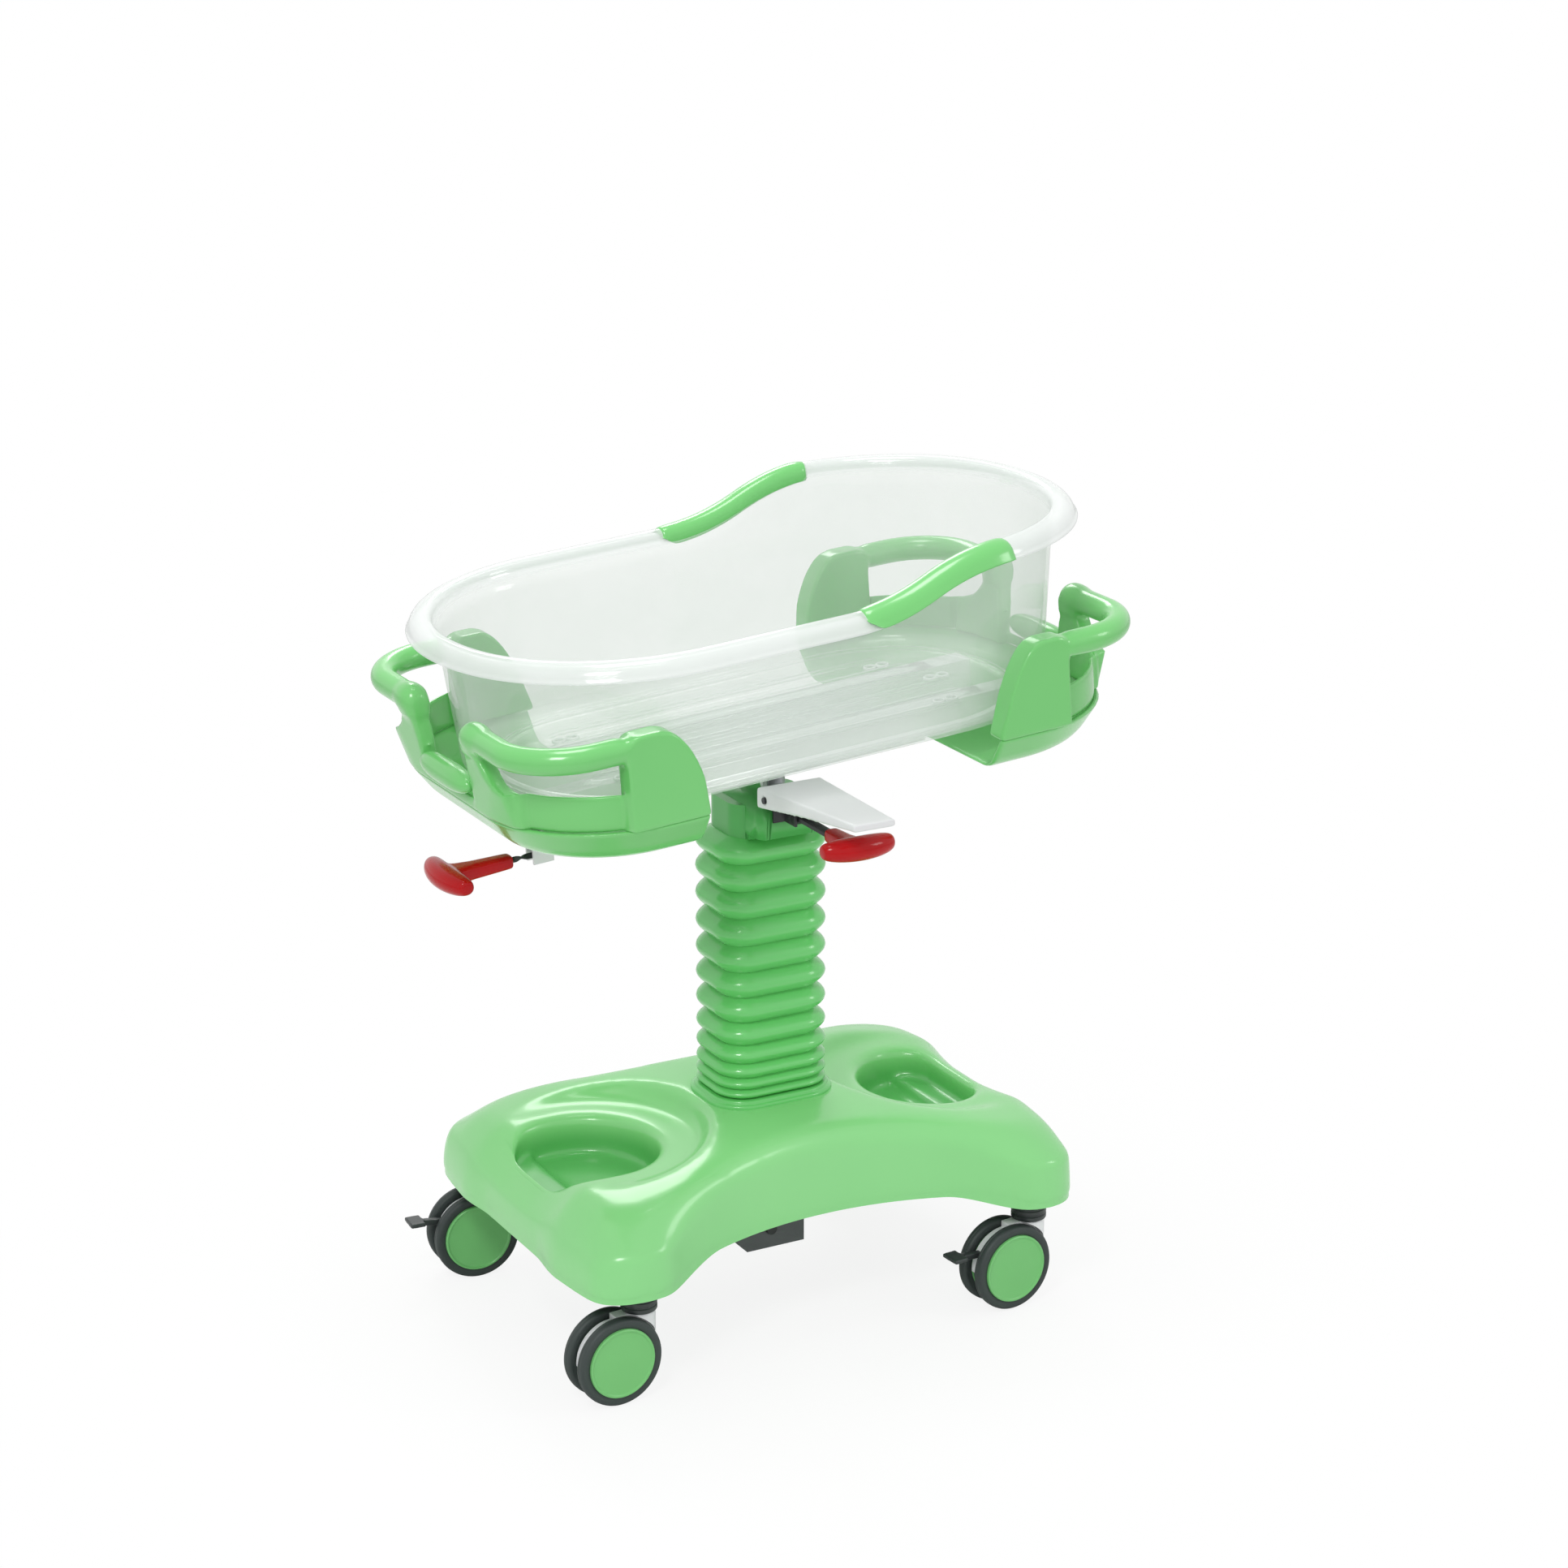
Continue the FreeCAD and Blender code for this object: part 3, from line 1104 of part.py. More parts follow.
def make_height_lever(size):
    """The black flat stem and the red T-handle that release the column's gas spring."""
    half, thick = size.lever_bar_width / 2, size.lever_bar_thick / 2
    neck_end = size.grip_neck_start + 2 * size.lever_eye
    bar = box("lever_bar", (-half, half), (-neck_end, -size.lever_pivot_y),
              (size.lever_z - thick, size.lever_z + thick))
    eye = rod("lever_eye_round", "X", (-half, -size.lever_pivot_y, size.lever_z), size.lever_eye - size.seat_gap,
              half + half)
    hole = rod("lever_eye_hole", "X", (-half - size.overrun, -size.lever_pivot_y, size.lever_z),
               size.lever_pin_radius + size.bore_play, size.lever_bar_width + 2 * size.overrun)
    finish(cut("lever_stem", fuse("lever_stem_solid", [bar, eye]), [hole]), "height_handle_stem")
    zero = as_length(0)
    grip = t_handle("height_grip", "Y", -size.grip_neck_start, -size.grip_bar_y, zero, size.lever_z, size)
    pocket = box("height_grip_pocket", (-half, half), (-neck_end, -size.grip_neck_start + size.overrun),
                 (size.lever_z - thick, size.lever_z + thick))
    finish(cut("height_grip_cut", grip, [pocket]), "height_handle")


def t_handle(name, axis, neck_start, bar_place, other, z, size):
    """A tapered neck and a round-ended bar across it."""
    half = size.grip_bar_half - size.grip_bar_radius
    length = neck_start - bar_place
    root = size.grip_bar_radius * NECK_SHARE
    if axis == "Y":
        neck = taper(name + "_neck", "Y", (other, bar_place, z), root, size.grip_neck_radius, length)
        bar = rod(name + "_bar", "X", (other - half, bar_place, z), size.grip_bar_radius, half + half)
        ends = [(other - half, bar_place, z), (other + half, bar_place, z)]
    else:
        neck = taper(name + "_neck", "X", (bar_place, other, z), root, size.grip_neck_radius, length)
        bar = rod(name + "_bar", "Y", (bar_place, other - half, z), size.grip_bar_radius, half + half)
        ends = [(bar_place, other - half, z), (bar_place, other + half, z)]
    balls = [ball(f"{name}_end_{index}", centre, size.grip_bar_radius) for index, centre in enumerate(ends)]
    return fuse(name, [neck, bar] + balls)


# Cradle

def cradle_place(size):
    """Turns the level cradle to its rest tilt about the pivot."""
    pivot = Vector(0, 0, size.pivot_z.value)
    return Placement(Vector(), Rotation(Vector(0, 1, 0), -size.rest_tilt.value), pivot)


def make_tilt_frame(size):
    """Two rails on a middle plate with pivot ears."""
    low, plate = size.frame_plate_z, size.frame_plate
    middle = box("frame_plate_box", (-size.frame_plate_x, size.frame_plate_x),
                 (-size.frame_plate_y, size.frame_plate_y), (low, low + plate))
    solids, hollows = [middle], []
    wall = size.rail_wall
    for side, name in ((-1, "front"), (1, "back")):
        near = size.rail_inner_y * side
        far = (size.rail_inner_y + size.rail_width) * side
        span = (near, far) if side > 0 else (far, near)
        solids.append(box(f"rail_{name}", (-size.rail_half_x, size.rail_half_x), span, (low + plate, size.tub_bottom)))
        hollows.append(box(f"rail_hollow_{name}", (-size.rail_half_x - size.overrun, size.rail_half_x + size.overrun),
                           (span[0] + wall, span[1] - wall), (low + plate + wall, size.tub_bottom - wall)))
        inside = (size.lug_half_y + size.seat_gap) * side
        outside = (size.lug_half_y + size.seat_gap + size.frame_ear) * side
        ear_span = (inside, outside) if side > 0 else (outside, inside)
        ear_view = [
            (-size.lug_half_x, size.pivot_z, size.lug_half_x),
            (as_length(0), size.pivot_z - size.lug_half_x, size.lug_half_x), (size.lug_half_x, size.pivot_z),
            (size.lug_half_x, low + plate / 2), (-size.lug_half_x, low + plate / 2),
        ]
        solids.append(prism(f"frame_ear_{name}", "XZ", ear_view, *ear_span))
    hollows.append(rod("frame_pivot_hole", "Y", (as_length(0), -size.frame_plate_y, size.pivot_z),
                       size.pivot_radius + size.bore_play, size.frame_plate_y + size.frame_plate_y))
    for x in (size.tray_screw_x, size.tray_screw_x + size.tray_screw_step):
        for x_side in (-1, 1):
            for y_side in (-1, 1):
                start = (x * x_side, rail_middle(size) * y_side, low)
                hollows.append(rod("rail_screw_hole", "Z", start, size.tray_screw_shank + size.bore_play,
                                   size.rail_width))
    finish(cut("frame", fuse("frame_solid", solids), hollows), "tilt_frame", cradle_place(size))


def rail_middle(size):
    """The middle of a rail across the crib."""
    return size.rail_inner_y + size.rail_width / 2


def end_clip(size, tag, low, high):
    """The room of one end holder along the crib."""
    reach = size.holder_x + size.handle_x
    span = (size.holder_inner_x, reach) if tag == "head" else (-reach, -size.holder_inner_x)
    return box(f"{tag}_clip", span, (-reach, reach), (low, high))


def make_tray(size, tag):
    """The lower tray of an end holder."""
    low, split, wall = size.frame_plate_z, size.holder_split, size.holder_wall
    foot, mouth = (size.holder_foot_x, size.holder_foot_y), (size.holder_x, size.holder_y)
    outer = basin(f"{tag}_tray_outer", foot, mouth, low, split, 3 * wall, holder_plan(size))
    inner_foot = (foot[0] - wall, foot[1] - wall)
    inner_mouth = (mouth[0] - wall, mouth[1] - wall)
    floor = low + size.frame_plate
    inner = basin(f"{tag}_tray_inner", inner_foot, inner_mouth, floor, split + size.overrun, 2 * wall,
                  holder_plan(size))
    shell = cut(f"{tag}_tray_shell", outer, [inner])
    side = 1 if tag == "head" else -1
    holes = []
    for x in (size.tray_screw_x, size.tray_screw_x + size.tray_screw_step):
        for y_side in (-1, 1):
            start = (x * side, rail_middle(size) * y_side, low - size.overrun)
            holes.append(rod(f"{tag}_tray_hole", "Z", start, size.tray_screw_shank + size.bore_play,
                             size.frame_plate + 2 * size.overrun))
    clipped = common(f"{tag}_tray_clipped", [shell, end_clip(size, tag, low - size.overrun, split)])
    finish(cut(f"{tag}_tray_cut", clipped, holes), f"{tag}_tray", cradle_place(size))


def make_ear(size):
    """The flat ear of the head end's back side."""
    left, right, corner = size.holder_inner_x, size.ear_outer_x, size.ear_corner
    low, top = size.holder_split, size.ear_top
    view = [
        (left, low), (right, low), (right, top - size.ear_round, size.ear_round), (right - size.ear_round, top),
        (left + corner, top, corner), (left, top - corner),
    ]
    return prism("ear", "XZ", view, size.holder_y - size.ear_thick, size.holder_y)


def make_corner_handle(size):
    """The corner handle of the head end's back side: a rail from the ear, a bend and a run to the knee."""
    tube_radius, bend_radius, z = size.handle_tube, size.handle_bend, size.handle_z
    start, bend_x = size.ear_outer_x - size.ear_round, size.handle_x - bend_radius
    bend_y = size.handle_y - bend_radius
    return [
        rod("handle_rail", "X", (start, size.handle_y, z), tube_radius, bend_x - start),
        bend("handle_bend", (bend_x, bend_y, z), bend_radius, tube_radius, 0),
        rod("handle_run", "Y", (size.handle_x, size.post_top_y, z), tube_radius, bend_y - size.post_top_y),
        ball("handle_knee", (size.handle_x, size.post_top_y, z), tube_radius),
    ]


def make_post(size):
    """The post of the head end's back side: a fin in a leaning wall that widens down to the band."""
    low, inner, outer = size.holder_split, size.roll_half + size.seat_gap, size.post_foot_outer_y
    view = [
        (inner, low), (outer, low), (outer, size.holder_sill, -size.post_flare),
        (size.post_top_y + size.post_half, size.handle_z), (size.post_top_y - size.post_half, size.handle_z),
        (inner, size.holder_sill),
    ]
    fin = prism("post_fin", "YZ", view, size.ear_outer_x, size.holder_x + size.handle_x)
    half = size.handle_tube - size.post_inset
    walls = []
    for name, foot_inset, top_inset in (("outside", as_length(0), -half), ("inside", size.post_thick, half)):
        foot = holder_plan(size)(size.holder_x - foot_inset, size.holder_y - foot_inset)
        top = rounded_rectangle(size.handle_x - top_inset, size.handle_y - top_inset, size.handle_bend - top_inset)
        walls.append(loft(f"post_{name}", "XY", [(foot, low), (top, size.handle_z)], ruled=True))
    return common("post", [fin, cut("post_wall", walls[0], [walls[1]])])


def make_rail_frames(size):
    """The upper frames of the end holders: band, ears, posts and corner handles; the foot end mirrors the head."""
    low, wall = size.holder_split, size.holder_wall
    plan = holder_plan(size)
    band = prism("band", "XY", plan(size.holder_x, size.holder_y), low, size.holder_sill)
    hollow = prism("band_hollow", "XY", plan(size.holder_x - wall, size.holder_y - wall),
                   low - size.overrun, size.holder_sill + size.overrun)
    ring = common("band_end", [cut("band_ring", band, [hollow]), end_clip(size, "head", low, size.ear_top)])
    side = fuse("holder_side", [make_ear(size), make_post(size)] + make_corner_handle(size))
    centre = (size.holder_x + size.roll_proud, -size.roll_half, size.roll_z)
    seat = rod("roll_seat", "Y", (centre[0], centre[1] - size.seat_gap, centre[2]), size.roll_radius + size.seat_gap,
               2 * size.roll_half + 2 * size.seat_gap)
    frame = cut("head_rails", fuse("head_rails_solid", [ring, side, mirrored("holder_front", side, "Y")]), [seat])
    roll = rod("roll_bar", "Y", centre, size.roll_radius, 2 * size.roll_half)
    roll = rounded("roll_round", roll, size.roll_round, lambda edge: edge.Curve.TypeId == "Part::GeomCircle")
    for node, item in (("rail_frame", frame), ("end_roll", roll)):
        finish(group(f"head_{node}_set", [item]), f"head_{node}", cradle_place(size))
        opposite = mirrored(f"foot_{node}_solid", item, "X")
        finish(group(f"foot_{node}_set", [opposite]), f"foot_{node}", cradle_place(size))


def make_tray_screws(size):
    """Eight screws from below through the tray floors into the rails."""
    low = size.frame_plate_z
    screws = []
    for x in (size.tray_screw_x, size.tray_screw_x + size.tray_screw_step):
        for x_side in (-1, 1):
            for y_side in (-1, 1):
                place = (x * x_side, rail_middle(size) * y_side, low - size.tray_screw_head)
                head = rod("tray_screw_head_rod", "Z", place, size.tray_screw_radius, size.tray_screw_head)
                shank = rod("tray_screw_shank_rod", "Z", place, size.tray_screw_shank,
                            size.tray_screw_head + size.frame_plate + size.rail_wall + size.tray_screw_shank)
                screws.append(fuse("tray_screw", [head, shank]))
    finish(group("tray_screw_set", screws), "tray_screws", cradle_place(size))


def make_tilt_lever(size):
    """The pale bracket under the foot tray, the black rod and the red T-handle of the tilt release."""
    zero = as_length(0)
    place = cradle_place(size)
    half, pivot, z = size.tilt_bracket_half, size.tilt_pivot_x, size.tilt_lever_z
    gap = size.lever_ear_gap
    solids = []
    solids.append(box("tilt_bracket_top", (-pivot - half, -pivot + half), (-gap - size.bracket_plate,
                      gap + size.bracket_plate), (size.frame_plate_z - size.bracket_plate, size.frame_plate_z)))
    for low_y, name in ((-gap - size.bracket_plate, "front"), (gap, "back")):
        solids.append(box(f"tilt_bracket_{name}", (-pivot - half, -pivot + half), (low_y, low_y + size.bracket_plate),
                          (z - size.lever_eye, size.frame_plate_z)))
    pin = rod("tilt_pin", "Y", (-pivot, -gap - size.bracket_plate, z), size.lever_pin_radius,
              2 * gap + 2 * size.bracket_plate)
    finish(fuse("tilt_bracket", solids + [pin]), "tilt_lever_bracket", place)
    neck = size.tilt_neck_start + 2 * size.lever_eye
    bar = rod("tilt_rod_bar", "X", (-neck, zero, z), size.tilt_rod_radius, neck - pivot)
    eye = rod("tilt_rod_eye", "Y", (-pivot, -size.tilt_rod_radius, z), size.lever_eye - size.seat_gap,
              2 * size.tilt_rod_radius)
    hole = rod("tilt_rod_hole", "Y", (-pivot, -size.lever_eye, z), size.lever_pin_radius + size.bore_play,
               2 * size.lever_eye)
    finish(cut("tilt_rod", fuse("tilt_rod_solid", [bar, eye]), [hole]), "tilt_handle_rod", place)
    grip = t_handle("tilt_grip", "X", -size.tilt_neck_start, -size.tilt_bar_x, zero, z, size)
    pocket = rod("tilt_grip_pocket", "X", (-neck, zero, z), size.tilt_rod_radius, neck - size.tilt_neck_start
                 + size.overrun)
    finish(cut("tilt_grip_cut", grip, [pocket]), "tilt_handle", place)


# Tub

def make_tub(size):
    """The clear basin: tapered walls, a rim that climbs to the head end, floor ribs and vent holes."""
    place = cradle_place(size)
    wall = size.tub_wall
    top = size.rim_high + size.overrun
    foot, mouth = (size.tub_bottom_x, size.tub_bottom_y), (size.tub_top_x, size.tub_top_y)
    outer = basin("tub_outer", foot, mouth, size.tub_bottom, top, size.tub_round, oval)
    floor = size.tub_bottom + wall
    inner = basin("tub_inner", (foot[0] - wall, foot[1] - wall), (mouth[0] - wall, mouth[1] - wall),
                  floor, top + size.overrun, size.tub_round - wall, oval)
    skirt_foot = size.rim_low - size.rim_skirt
    rim = prism("rim_ring", "XY", oval(size.rim_x, size.rim_y), skirt_foot, top)
    below = prism("rim_under", "XZ", rim_profile(size, -size.rim_skirt), -size.rim_x, size.rim_x)
    rim = cut("rim_band", rim, [below])
    gutter = prism("rim_gutter_plan", "XY", oval(size.rim_x - wall, size.rim_y - wall), size.tub_bottom, top)
    under_top = prism("rim_gutter_side", "XZ", rim_profile(size, -wall), -size.rim_x, size.rim_x)
    gutter = common("rim_gutter", [gutter, under_top])
    rim = cut("rim_turned", rim, [gutter])
    solid = fuse("tub_solid", [outer, rim])
    line = prism("rim_line", "XZ", rim_profile(size, as_length(0)), -size.rim_x - size.overrun,
                 size.rim_x + size.overrun)
    solid = common("tub_trimmed", [solid, line])
    solid = cut("tub_hollowed", solid, [inner])
    ribs = []
    for number in range(FLOOR_RIBS):
        y = size.floor_rib_pitch * (number - (FLOOR_RIBS - 1) / 2)
        half = size.floor_rib_width / 2
        ribs.append(box(f"floor_rib_{number}", (-size.floor_rib_half, size.floor_rib_half), (y - half, y + half),
                        (floor - wall / 2, floor + size.floor_rib_height)))
    vents = []
    for x_side in (-1, 1):
        for number in (-1, 0, 1):
            for step in (0, 1):
                x = size.vent_x - size.vent_set_back * abs(number) - size.vent_step * step
                start = (x * x_side, size.vent_pitch * number, size.tub_bottom - size.overrun)
                vents.append(rod(f"vent_{number}_{step}", "Z", start, size.vent_radius, wall + 2 * size.overrun))
    finish(cut("tub_shell", fuse("tub_ribbed", [solid] + ribs), vents), "tub", place)


def make_rim_grips(size):
    """The two green grips over the sloped stretch of the rim."""
    wall = size.grip_wall
    low_x, high_x = size.rim_slope_start - size.grip_overlap, size.rim_slope_end + size.grip_overlap
    top = size.rim_high + size.overrun + wall
    outer = prism("grip_outer", "XY", oval(size.rim_x + wall, size.rim_y + wall), size.tub_bottom, top)
    open_inside = prism("grip_open", "XY", oval(size.tub_top_x - size.tub_wall, size.tub_top_y - size.tub_wall),
                        size.tub_bottom - size.overrun, top + size.overrun)
    over = prism("grip_over", "XZ", rim_profile(size, wall), -size.rim_x, size.rim_x)
    below = prism("grip_below", "XZ", rim_profile(size, -size.grip_drop), -size.rim_x - size.overrun,
                  size.rim_x + size.overrun)
    rim_plan = prism("grip_rim_plan", "XY", oval(size.rim_x, size.rim_y), size.tub_bottom - size.overrun, top)
    rim_side = prism("grip_rim_side", "XZ", rim_profile(size, as_length(0)), -size.rim_x, size.rim_x)
    rim = common("grip_rim", [rim_plan, rim_side])
    for side, name in ((-1, "front"), (1, "back")):
        reach = size.rim_y + size.rim_y
        span = (as_length(0), reach) if side > 0 else (-reach, as_length(0))
        room = box(f"grip_room_{name}", (low_x, high_x), span, (size.tub_bottom, top))
        solid = common(f"grip_{name}_whole", [outer, over, room])
        finish(cut(f"grip_{name}", solid, [open_inside, below, rim]), f"{name}_rim_grip", cradle_place(size))


def check_and_write():
    """Stop at any failed object, then write each sub-part to its own file."""
    doc.recompute()
    failed = [item.Name for item in doc.Objects if {"Invalid", "Error"} & set(item.State)]
    if failed:
        raise RuntimeError(f"failed objects: {failed}")
    os.makedirs("parts", exist_ok=True)
    for item in nodes:
        shape = item.Shape
        if shape.isNull() or not shape.isValid() or not shape.Solids:
            raise RuntimeError(f"bad shape: {item.Label}")
        bounds = shape.BoundBox
        print(f"{item.Label}: {len(shape.Solids)} solids, {shape.Volume / 1000:.1f} cm3, "
              f"x {bounds.XMin:.0f}..{bounds.XMax:.0f} y {bounds.YMin:.0f}..{bounds.YMax:.0f} "
              f"z {bounds.ZMin:.0f}..{bounds.ZMax:.0f}")
        shape.exportStep(f"parts/{item.Label}.step")


def main():
    size = Sheet()
    make_base_cover(size)
    make_chassis(size)
    make_spring_box(size)
    make_column_foot(size)
    make_base_screws(size)
    for tag in CASTOR_SIDES:
        make_castor(size, tag)
    make_bellows(size)
    make_column_head(size)
    make_lever_bracket(size)
    make_paddle(size)
    make_height_lever(size)
    make_tilt_frame(size)
    for tag in ("foot", "head"):
        make_tray(size, tag)
    make_rail_frames(size)
    make_tray_screws(size)
    make_tilt_lever(size)
    make_tub(size)
    make_rim_grips(size)
    check_and_write()


main()
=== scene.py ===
import logging
import math
from dataclasses import dataclass, field
from enum import Enum
from typing import Any, Callable, ClassVar, Iterable, Optional, Sequence

import bmesh
import bpy
from mathutils import Matrix, Vector


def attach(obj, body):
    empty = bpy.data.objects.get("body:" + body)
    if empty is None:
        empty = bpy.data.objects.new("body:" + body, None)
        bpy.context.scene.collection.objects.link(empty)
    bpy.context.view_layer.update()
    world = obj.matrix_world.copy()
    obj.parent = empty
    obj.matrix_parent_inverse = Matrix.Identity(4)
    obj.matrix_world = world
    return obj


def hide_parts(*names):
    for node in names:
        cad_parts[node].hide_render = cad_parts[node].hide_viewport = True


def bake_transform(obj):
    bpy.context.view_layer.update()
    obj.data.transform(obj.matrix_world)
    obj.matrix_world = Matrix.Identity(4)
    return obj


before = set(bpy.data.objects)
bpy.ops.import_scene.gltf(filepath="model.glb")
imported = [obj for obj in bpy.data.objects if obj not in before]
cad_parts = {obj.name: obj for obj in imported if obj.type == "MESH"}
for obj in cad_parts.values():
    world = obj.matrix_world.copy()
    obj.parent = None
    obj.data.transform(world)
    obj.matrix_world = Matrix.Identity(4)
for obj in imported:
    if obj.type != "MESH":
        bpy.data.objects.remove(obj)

LOG = logging.getLogger("crib")
MM = 0.001
FULL_TURN = 2 * math.pi
CRADLE_TILT = math.radians(4.3)
PIVOT = Vector((0, 0, 612 * MM))
CRISP = 35
FINE_SKIN = (1.1, 7)
PEDAL_SKIN = (0.9, 6)
Point = tuple[float, float]
Ring = list[Vector]


# Finishes

class Signal:
    """A node's output that takes part in arithmetic, so that shader maths reads as an expression."""

    def __init__(self, sheet: "NodeSheet", socket: bpy.types.NodeSocket) -> None:
        """Keep the sheet and the output socket."""
        self.sheet = sheet
        self.socket = socket

    def maths(self, operation: str, first: Any, second: Any) -> "Signal":
        """Add one Math node.

        Args:
            operation: the Math node's operation.
            first: its first value or signal.
            second: its second value or signal.

        Returns:
            The node's output.
        """
        return self.sheet.node("ShaderNodeMath", {"operation": operation}, {0: first, 1: second})

    def __add__(self, other: Any) -> "Signal":
        """self + other."""
        return self.maths("ADD", self, other)

    def __radd__(self, other: Any) -> "Signal":
        """other + self."""
        return self.maths("ADD", other, self)

    def __sub__(self, other: Any) -> "Signal":
        """self - other."""
        return self.maths("SUBTRACT", self, other)

    def __rsub__(self, other: Any) -> "Signal":
        """other - self."""
        return self.maths("SUBTRACT", other, self)

    def __mul__(self, other: Any) -> "Signal":
        """self * other."""
        return self.maths("MULTIPLY", self, other)

    def __rmul__(self, other: Any) -> "Signal":
        """other * self."""
        return self.maths("MULTIPLY", other, self)

    def __pow__(self, other: Any) -> "Signal":
        """self to the power of other."""
        return self.maths("POWER", self, other)


class NodeSheet:
    """The node tree of a new material or world, filled through a single method."""

    def __init__(self, owner: Any) -> None:
        """Empty the tree of a new material or world.

        Args:
            owner: the material or world.
        """
        owner.use_nodes = True
        self.owner = owner
        self.tree = owner.node_tree
        self.tree.nodes.clear()

    def node(self, kind: str, settings: dict[str, Any], sockets: dict[Any, Any], output: Any = 0) -> Signal:
        """Make any node.

        Args:
            kind: the node's type.
            settings: its properties, set first; "stops" fills a colour ramp.
            sockets: values or signals by input name or index.
            output: the name or index of the output that is returned.

        Returns:
            The chosen output.
        """
        made = self.tree.nodes.new(kind)
        for name, value in settings.items():
            if name == "stops":
                for element, (place, level) in zip(made.color_ramp.elements, value):
                    element.position, element.color = place, (level, level, level, 1)
            else:
                setattr(made, name, value)
        for key, value in sockets.items():
            if isinstance(value, Signal):
                self.tree.links.new(value.socket, made.inputs[key])
            else:
                made.inputs[key].default_value = value
        return Signal(self, made.outputs[output])

    def place(self) -> Signal:
        """The piece's own coordinates, in metres."""
        return self.node("ShaderNodeTexCoord", {}, {}, "Object")

    def stretched(self, stretch: Sequence[float]) -> Signal:
        """The piece's own coordinates, scaled along each axis."""
        return self.node("ShaderNodeMapping", {}, {"Vector": self.place(), "Scale": stretch})

    def region(self) -> Signal:
        """The second value of the piece's UV map, zero where it has none."""
        return self.node("ShaderNodeSeparateXYZ", {}, {0: self.node("ShaderNodeTexCoord", {}, {}, "UV")}, "Y")

    def noise(self, scale: float, detail: float, place: Optional[Signal] = None) -> Signal:
        """A noise of a scale per metre.

        Args:
            scale: how many features fit in a metre.
            detail: how many finer layers it has.
            place: the coordinates, the piece's own if left out.

        Returns:
            The noise's factor.
        """
        sockets = {"Vector": place or self.place(), "Scale": scale, "Detail": detail}
        return self.node("ShaderNodeTexNoise", {}, sockets, "Fac")

    def spread(self, signal: Signal, low: float, high: float) -> Signal:
        """Stretch the middle of a signal to the whole range.

        Args:
            signal: what is stretched.
            low: the value that becomes zero.
            high: the value that becomes one.

        Returns:
            The stretched signal.
        """
        return self.node("ShaderNodeValToRGB", {"stops": ((low, 0), (high, 1))}, {"Fac": signal}, "Color")

    def mixed(self, share: Any, first: Any, second: Any) -> Signal:
        """A colour between two colours."""
        return self.node("ShaderNodeMix", {"data_type": "RGBA"}, {0: share, 6: first, 7: second}, 2)

    def bump(self, height: Signal, distance: float, strength: float) -> Signal:
        """A normal raised by a height."""
        return self.node("ShaderNodeBump", {}, {"Height": height, "Distance": distance, "Strength": strength})

    def close(self, surface: Signal) -> Any:
        """Join the surface to the output and return the material or world."""
        kind = "World" if isinstance(self.owner, bpy.types.World) else "Material"
        output = self.tree.nodes.new(f"ShaderNodeOutput{kind}")
        self.tree.links.new(surface.socket, output.inputs["Surface"])
        return self.owner

    def principled(self, sockets: dict[str, Any]) -> bpy.types.Material:
        """Finish the material with one Principled shader."""
        return self.close(self.node("ShaderNodeBsdfPrincipled", {}, sockets))


def shade(code: str) -> tuple[float, float, float, float]:
    """A linear colour from its written code of six hexadecimal digits."""
    parts = [int(code[start:start + 2], 16) / 255 for start in (0, 2, 4)]
    linear = [part / 12.92 if part <= 0.04045 else ((part + 0.055) / 1.055) ** 2.4 for part in parts]
    return (*linear, 1.0)


@dataclass(frozen=True)
class Moulded:
    """Moulded plastic or rubber: a faint cloudiness in its colour, a fine skin and rubbed patches, and where
    asked a painted shade in its hollows.

    Attributes:
        slot: the record's material slot.
        colour: the main colour.
        deep: the colour of its cloudy patches.
        gloss: the mean roughness.
        grain: the height of its skin in metres.
        grain_scale: how many grains fit in a metre.
        coat: a clear gloss on top.
        specular: the level of its reflection.
        hollow_shade: the colour of a painted shade in the hollows that a piece's UV map marks.
    """

    slot: str
    colour: str
    deep: str
    gloss: float
    grain: float = 0.00001
    grain_scale: float = 900
    coat: float = 0.0
    specular: float = 0.5
    hollow_shade: Optional[str] = None

    def material(self) -> bpy.types.Material:
        """Build the material."""
        sheet = NodeSheet(bpy.data.materials.new(self.slot))
        clouds = sheet.noise(5, 2)
        fine = sheet.noise(self.grain_scale, 2)
        rubbed = sheet.spread(sheet.noise(9, 3), 0.35, 0.8)
        scuffs = sheet.spread(sheet.noise(40, 3, sheet.stretched((1, 6, 2))), 0.6, 0.85)
        colour = sheet.mixed(sheet.spread(clouds, 0.35, 0.7), shade(self.colour), shade(self.deep))
        # Painted shade: the hollows that the UV map marks get a darker colour.
        if self.hollow_shade:
            colour = sheet.mixed(sheet.region() * 0.9, colour, shade(self.hollow_shade))
        roughness = self.gloss + 0.03 * rubbed + 0.02 * scuffs
        normal = sheet.bump(fine, self.grain, 0.3)
        return sheet.principled({
            "Base Color": colour, "Roughness": roughness, "Normal": normal, "Coat Weight": self.coat,
            "Coat Roughness": 0.08, "Specular IOR Level": self.specular,
        })


